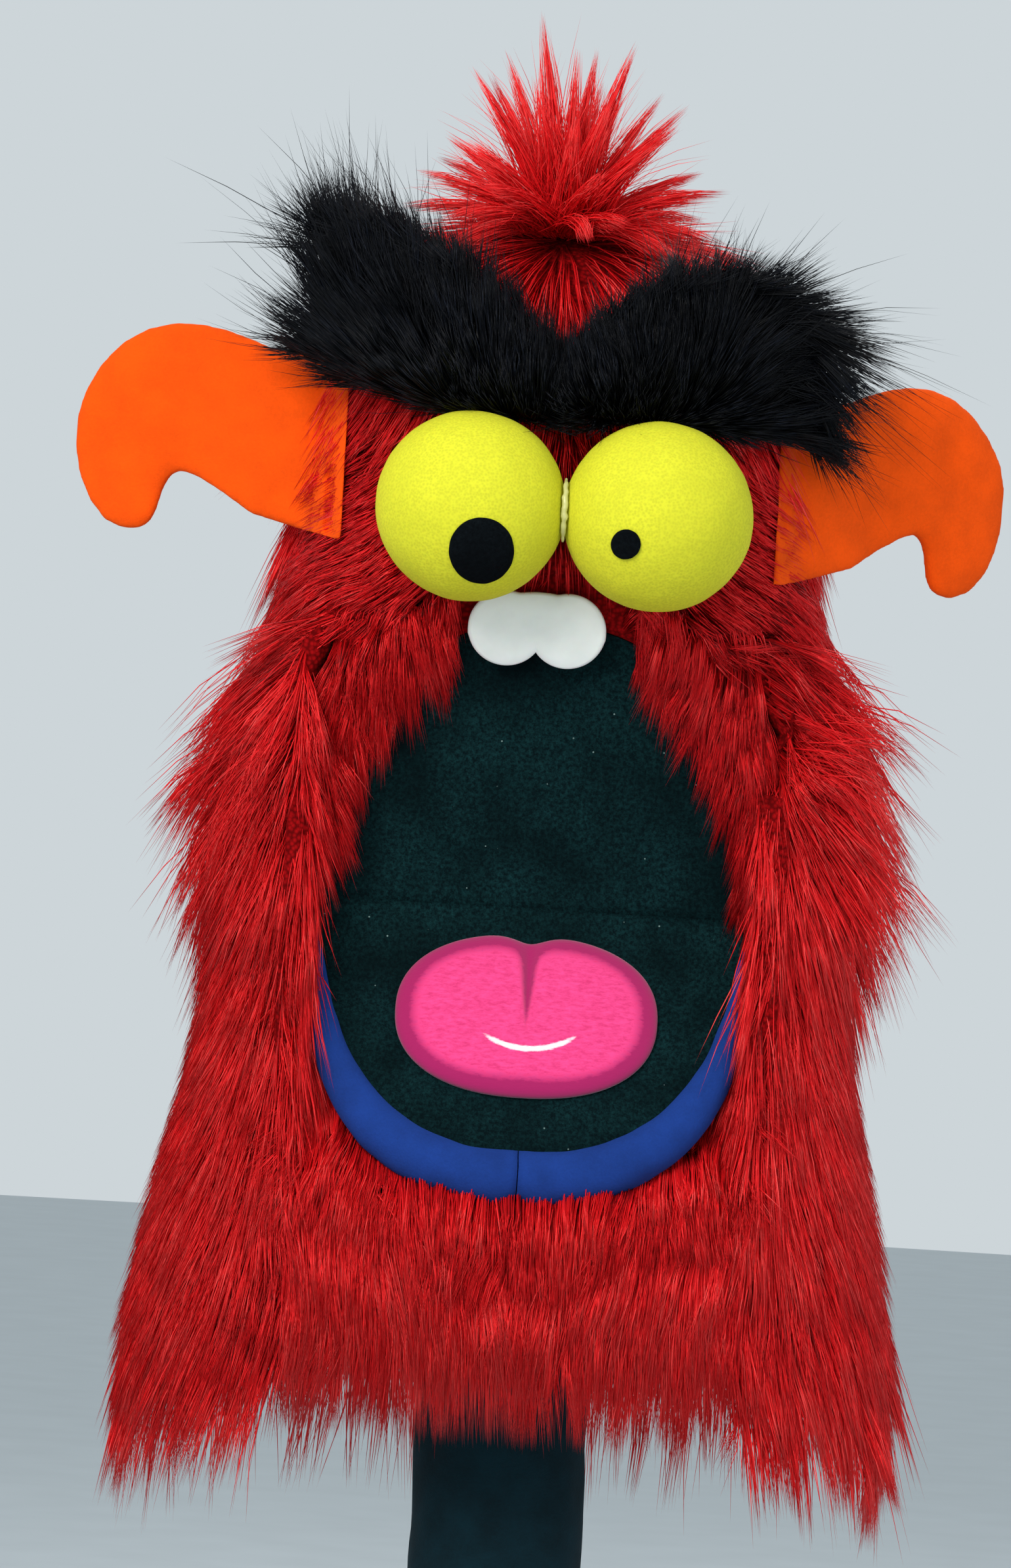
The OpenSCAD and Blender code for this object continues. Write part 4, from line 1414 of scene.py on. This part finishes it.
    def muzzle_locks(self, context, fibres):
        """Clipped pile on the fabric that turns in to the mouth."""
        fur, rng = context.scene.puppet_fur, fur_rng(context, 20)
        backing = bpy.data.objects["muzzle_backing"]
        corners = triangle_corners(backing)
        normals = np.cross(corners[:, 1] - corners[:, 0], corners[:, 2] - corners[:, 0])
        skin = Skin(corners[normals[:, 1] < 0])
        roots, normals = skin.scatter(int(13000 * fur.density), rng, self.free)
        up, x = roots[:, 2] - CREASE.z, roots[:, 0]
        corner = np.clip((np.abs(x) - 0.028) / 0.02, 0, 1) * np.clip((up - 0.0) / 0.03, 0, 1)
        away = np.stack([x * 4, 0 * up, 0 * up + 0.4], axis=1) * (1 - corner)[:, None]
        away += np.stack([-0.18 * np.sign(x), 0 * up, 0 * up - 1.0], axis=1) * corner[:, None]
        away += np.array([0, 0, -1.0]) * (up < 0)[:, None]
        locks = Locks(roots - normals * 0.5 * MM, normals, rng)
        length = fur.trimmed_pile * (1 + 1.1 * corner + 0.8 * (up < 0))
        locks.grow(length, away, 0.22, 0.2, skin, 0.1, 0.35, 10, 60)
        # Starts low on the palette: painted shade on the pile that turns in to the mouth.
        locks.piece("muzzle_locks", fibres, fur.strand * 0.9, 2, 1.0, "head", "red_fur")

    def throat_locks(self, context, fibres, hood):
        """The pile that hangs from behind the lip over the top of the bib."""
        fur, rng = context.scene.puppet_fur, fur_rng(context, 22)
        corners = triangle_corners(bpy.data.objects["throat_backing"])
        normals = np.cross(corners[:, 1] - corners[:, 0], corners[:, 2] - corners[:, 0])
        skin = Skin(corners[normals[:, 1] < 0])
        roots, normals = skin.scatter(
            int(8500 * fur.density), rng, lambda spots: spots[:, 1] < CREASE.y + 0.02
        )
        comb = np.stack([0 * roots[:, 0], 0 * roots[:, 0] - 0.1, 0 * roots[:, 0] - 1.0], axis=1)
        locks = Locks(roots - normals * 0.5 * MM, normals, rng)
        near_lip = np.clip((np.abs(roots[:, 0]) - 0.05) / 0.03, 0, 1)
        locks.grow(fur.body_pile * (0.75 - 0.25 * near_lip), comb, 0.1, 0.5, hood, 0.05)
        locks.piece("throat_locks", fibres, fur.strand, 3, 1.5, "jaw", "red_fur")

    def chin_locks(self, context, fibres):
        """The pile under the chin, which hangs straight down."""
        fur, rng = context.scene.puppet_fur, fur_rng(context, 21)
        skin = Skin(triangle_corners(NODES["chin_fur"]))
        edge = np.array(LOWER.inward)
        behind = CREASE.dot(LOWER.inward) - 16 * MM
        roots, normals = skin.scatter(int(7500 * fur.density), rng, lambda spots: spots @ edge < behind)
        comb = np.stack([roots[:, 0] * 2, 0 * roots[:, 0] + 0.1, 0 * roots[:, 0] - 1.0], axis=1)
        locks = Locks(roots, normals, rng)
        locks.grow(fur.body_pile * 0.85, comb, 0.08, 0.7, None, 0.05)
        locks.piece("chin_locks", fibres, fur.strand, 2, 1.4, "jaw", "red_fur", ["chin_fur"])


class PUPPET_OT_brow(bpy.types.Operator):
    """Grows the bushy black brow"""

    bl_idname = "puppet.brow"
    bl_label = "Brow"

    def execute(self, context):
        fur = context.scene.puppet_fur
        fibres = black_fibres(fur.black)
        for index, (side, node) in enumerate(((-1, "brow_left"), (1, "brow_right"))):
            core = copy_of_node(f"{node}_backing", node)
            move_points(core, lambda point: Vector((point.x * 0.84, point.y, point.z)))
            apply_modifier(core, "DISPLACE", strength=-2.5 * MM, mid_level=0.0)
            smooth(core)
            # The core wears the darkest copy of the black: painted shade under the brow's hair.
            coat(core, fibres[0])
            hand_over(core, "head", "black_fur")
            rng = fur_rng(context, 40 + index)
            skin = Skin(outside_faces([node]))
            roots, normals = skin.scatter(
                int(11500 * fur.density), rng, lambda spots: np.abs(spots[:, 0]) < 0.098
            )
            low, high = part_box(node)
            reach = np.abs(roots[:, 0]) / max(abs(low[0]), abs(high[0]))
            up = (roots[:, 2] - low[2]) / (high[2] - low[2])
            if side < 0:
                lean = -8 + 26 * reach + 80 * reach ** 2 * np.clip(1.15 - up, 0, 1)
                length = fur.brow_pile * np.clip(0.55 + 0.35 * reach + 0.3 * up, 0.5, 1.15)
            else:
                lean = -20 + 40 * reach + 300 * np.clip(reach - 0.52, 0, 1) + 20 * reach * (1 - up)
                length = fur.brow_pile * (0.55 + 0.2 * reach + 0.2 * up + 1.4 * np.clip(reach - 0.65, 0, 0.3))
            lean = np.radians(lean)
            comb = np.stack([side * np.sin(lean), 0 * lean - 0.12, np.cos(lean)], axis=1)
            guard = rng.random(len(roots)) < 0.07
            length = np.where(guard, length * 1.6, length)
            locks = Locks(roots - normals * 2.0 * MM, normals, rng)
            locks.grow(length, comb, 0.26, 0.0, None, 0.12, 0.34, 12, 90)
            thick = fur.strand * np.where(guard, 0.6, 0.85)
            locks.piece(f"{node}_locks", fibres, thick, 3, 0.5, "head", "black_fur", [node])
        return {"FINISHED"}


class PUPPET_OT_tuft(bpy.types.Operator):
    """Grows the fountain of locks at the top of the crown"""

    bl_idname = "puppet.tuft"
    bl_label = "Crown tuft"

    def execute(self, context):
        fur, rng = context.scene.puppet_fur, fur_rng(context, 60)
        locks_count = 40
        count = int(4600 * fur.density)
        member = rng.integers(0, locks_count, count)
        golden = math.pi * (3 - math.sqrt(5))
        turn = np.arange(locks_count) * golden + rng.normal(0, 0.12, locks_count)
        lean = np.radians(4 + 88 * ((np.arange(locks_count) + 0.5) / locks_count) ** 0.8)
        reach = fur.tuft_pile * rng.uniform(0.72, 1.0, locks_count)
        reach = reach * np.interp(lean, [0, 0.9, 1.7], [1.15, 0.95, 0.6])
        flat = np.stack([np.cos(turn), np.sin(turn), 0 * turn], axis=1)
        aim = flat * np.sin(lean)[:, None] + np.array([0, 0, 1]) * np.cos(lean)[:, None]
        hood = Skin(outside_faces(["fur_crown"]))
        top = hood.tree.ray_cast(Vector((WHORL.x, WHORL.y + 2 * MM, 1)), Vector((0, 0, -1)))[0]
        start = np.array(top) - np.array([0, 0, 1 * MM]) + flat * (10 * MM * np.sin(lean))[:, None]
        start[:, 2] -= 3 * MM * np.sin(lean) ** 2
        droop = np.array([0, 0, -1.0]) * (np.clip(lean - 0.8, 0, 1) * 14 * MM)[:, None]
        tips = start + aim * reach[:, None] + droop
        roots = start[member] + rng.normal(0, 1, (count, 3)) * np.array([4.5, 4.5, 1.0]) * MM
        stray = rng.random((count, 1)) < 0.10
        share = rng.uniform(0.62, 1.03, (count, 1))
        away = unit_rows(
            aim[member] + rng.normal(0, 0.22, (count, 3)) * stray + rng.normal(0, 0.012, (count, 3))
        )
        locks = Locks(roots, unit_rows(np.cross(aim[member], rng.normal(0, 1, (count, 3)))), rng)
        spread = rng.normal(0, 1, (count, 3)) * MM
        locks.tip = np.where(stray, roots + away * reach[member][:, None] * share, 0)
        to_tip = (tips[member] - start[member]) * share
        locks.tip = np.where(stray, locks.tip, start[member] + to_tip + spread * (0.7 + 3.0 * (1 - share)))
        upright = aim[member] * 0.72 + np.array([0, 0, 0.3])
        half_way = start[member] + unit_rows(upright) * reach[member][:, None] * 0.5 * share
        locks.bend = roots * 0.4 + half_way * 0.6
        locks.bend += unit_rows(upright) * reach[member][:, None] * 0.18 * share + spread * 1.6
        locks.side = locks.normals
        locks.wave = rng.normal(0, 0.5, (count, 1)) * MM
        locks.phase = rng.uniform(0, 2 * np.pi, (count, 1))
        locks.tone = rng.normal(0, 0.8, count)
        thick = fur.strand * np.where(stray[:, 0], 0.6, 0.85)
        locks.piece("tuft_locks", red_fibres(fur.red), thick, 5, 2.2, "head", "red_fur", ["crown_tuft"])
        return {"FINISHED"}


# ---- panel and registration ----------------------------------------------------------

STEPS = (
    PUPPET_OT_stage,
    PUPPET_OT_inner_parts,
    PUPPET_OT_sleeve,
    PUPPET_OT_lining,
    PUPPET_OT_lip,
    PUPPET_OT_tongue,
    PUPPET_OT_teeth,
    PUPPET_OT_eyes,
    PUPPET_OT_ears,
    PUPPET_OT_backing,
    PUPPET_OT_fur,
    PUPPET_OT_brow,
    PUPPET_OT_tuft,
)
GROUPS = {"puppet_fur": PUPPET_PG_fur, "puppet_face": PUPPET_PG_face, "puppet_stage": PUPPET_PG_stage}


class PUPPET_PT_panel(bpy.types.Panel):
    """Lists the puppet's settings and steps"""

    bl_idname = "PUPPET_PT_panel"
    bl_label = "Moving mouth puppet"
    bl_space_type = "VIEW_3D"
    bl_region_type = "UI"
    bl_category = "Puppet"

    def draw(self, context):
        for name in GROUPS:
            settings = getattr(context.scene, name)
            box = self.layout.box()
            for key in settings.__annotations__:
                box.prop(settings, key)
        for step in STEPS:
            self.layout.operator(step.bl_idname)


def register():
    for group in (*GROUPS.values(), *STEPS, PUPPET_PT_panel):
        bpy.utils.register_class(group)
    for name, group in GROUPS.items():
        setattr(bpy.types.Scene, name, PointerProperty(type=group))


def unregister():
    for name in GROUPS:
        delattr(bpy.types.Scene, name)
    for group in reversed((*GROUPS.values(), *STEPS, PUPPET_PT_panel)):
        bpy.utils.unregister_class(group)


def main():
    register()
    for step in STEPS:
        space, name = step.bl_idname.split(".")
        getattr(getattr(bpy.ops, space), name)()


if __name__ == "__main__":
    main()
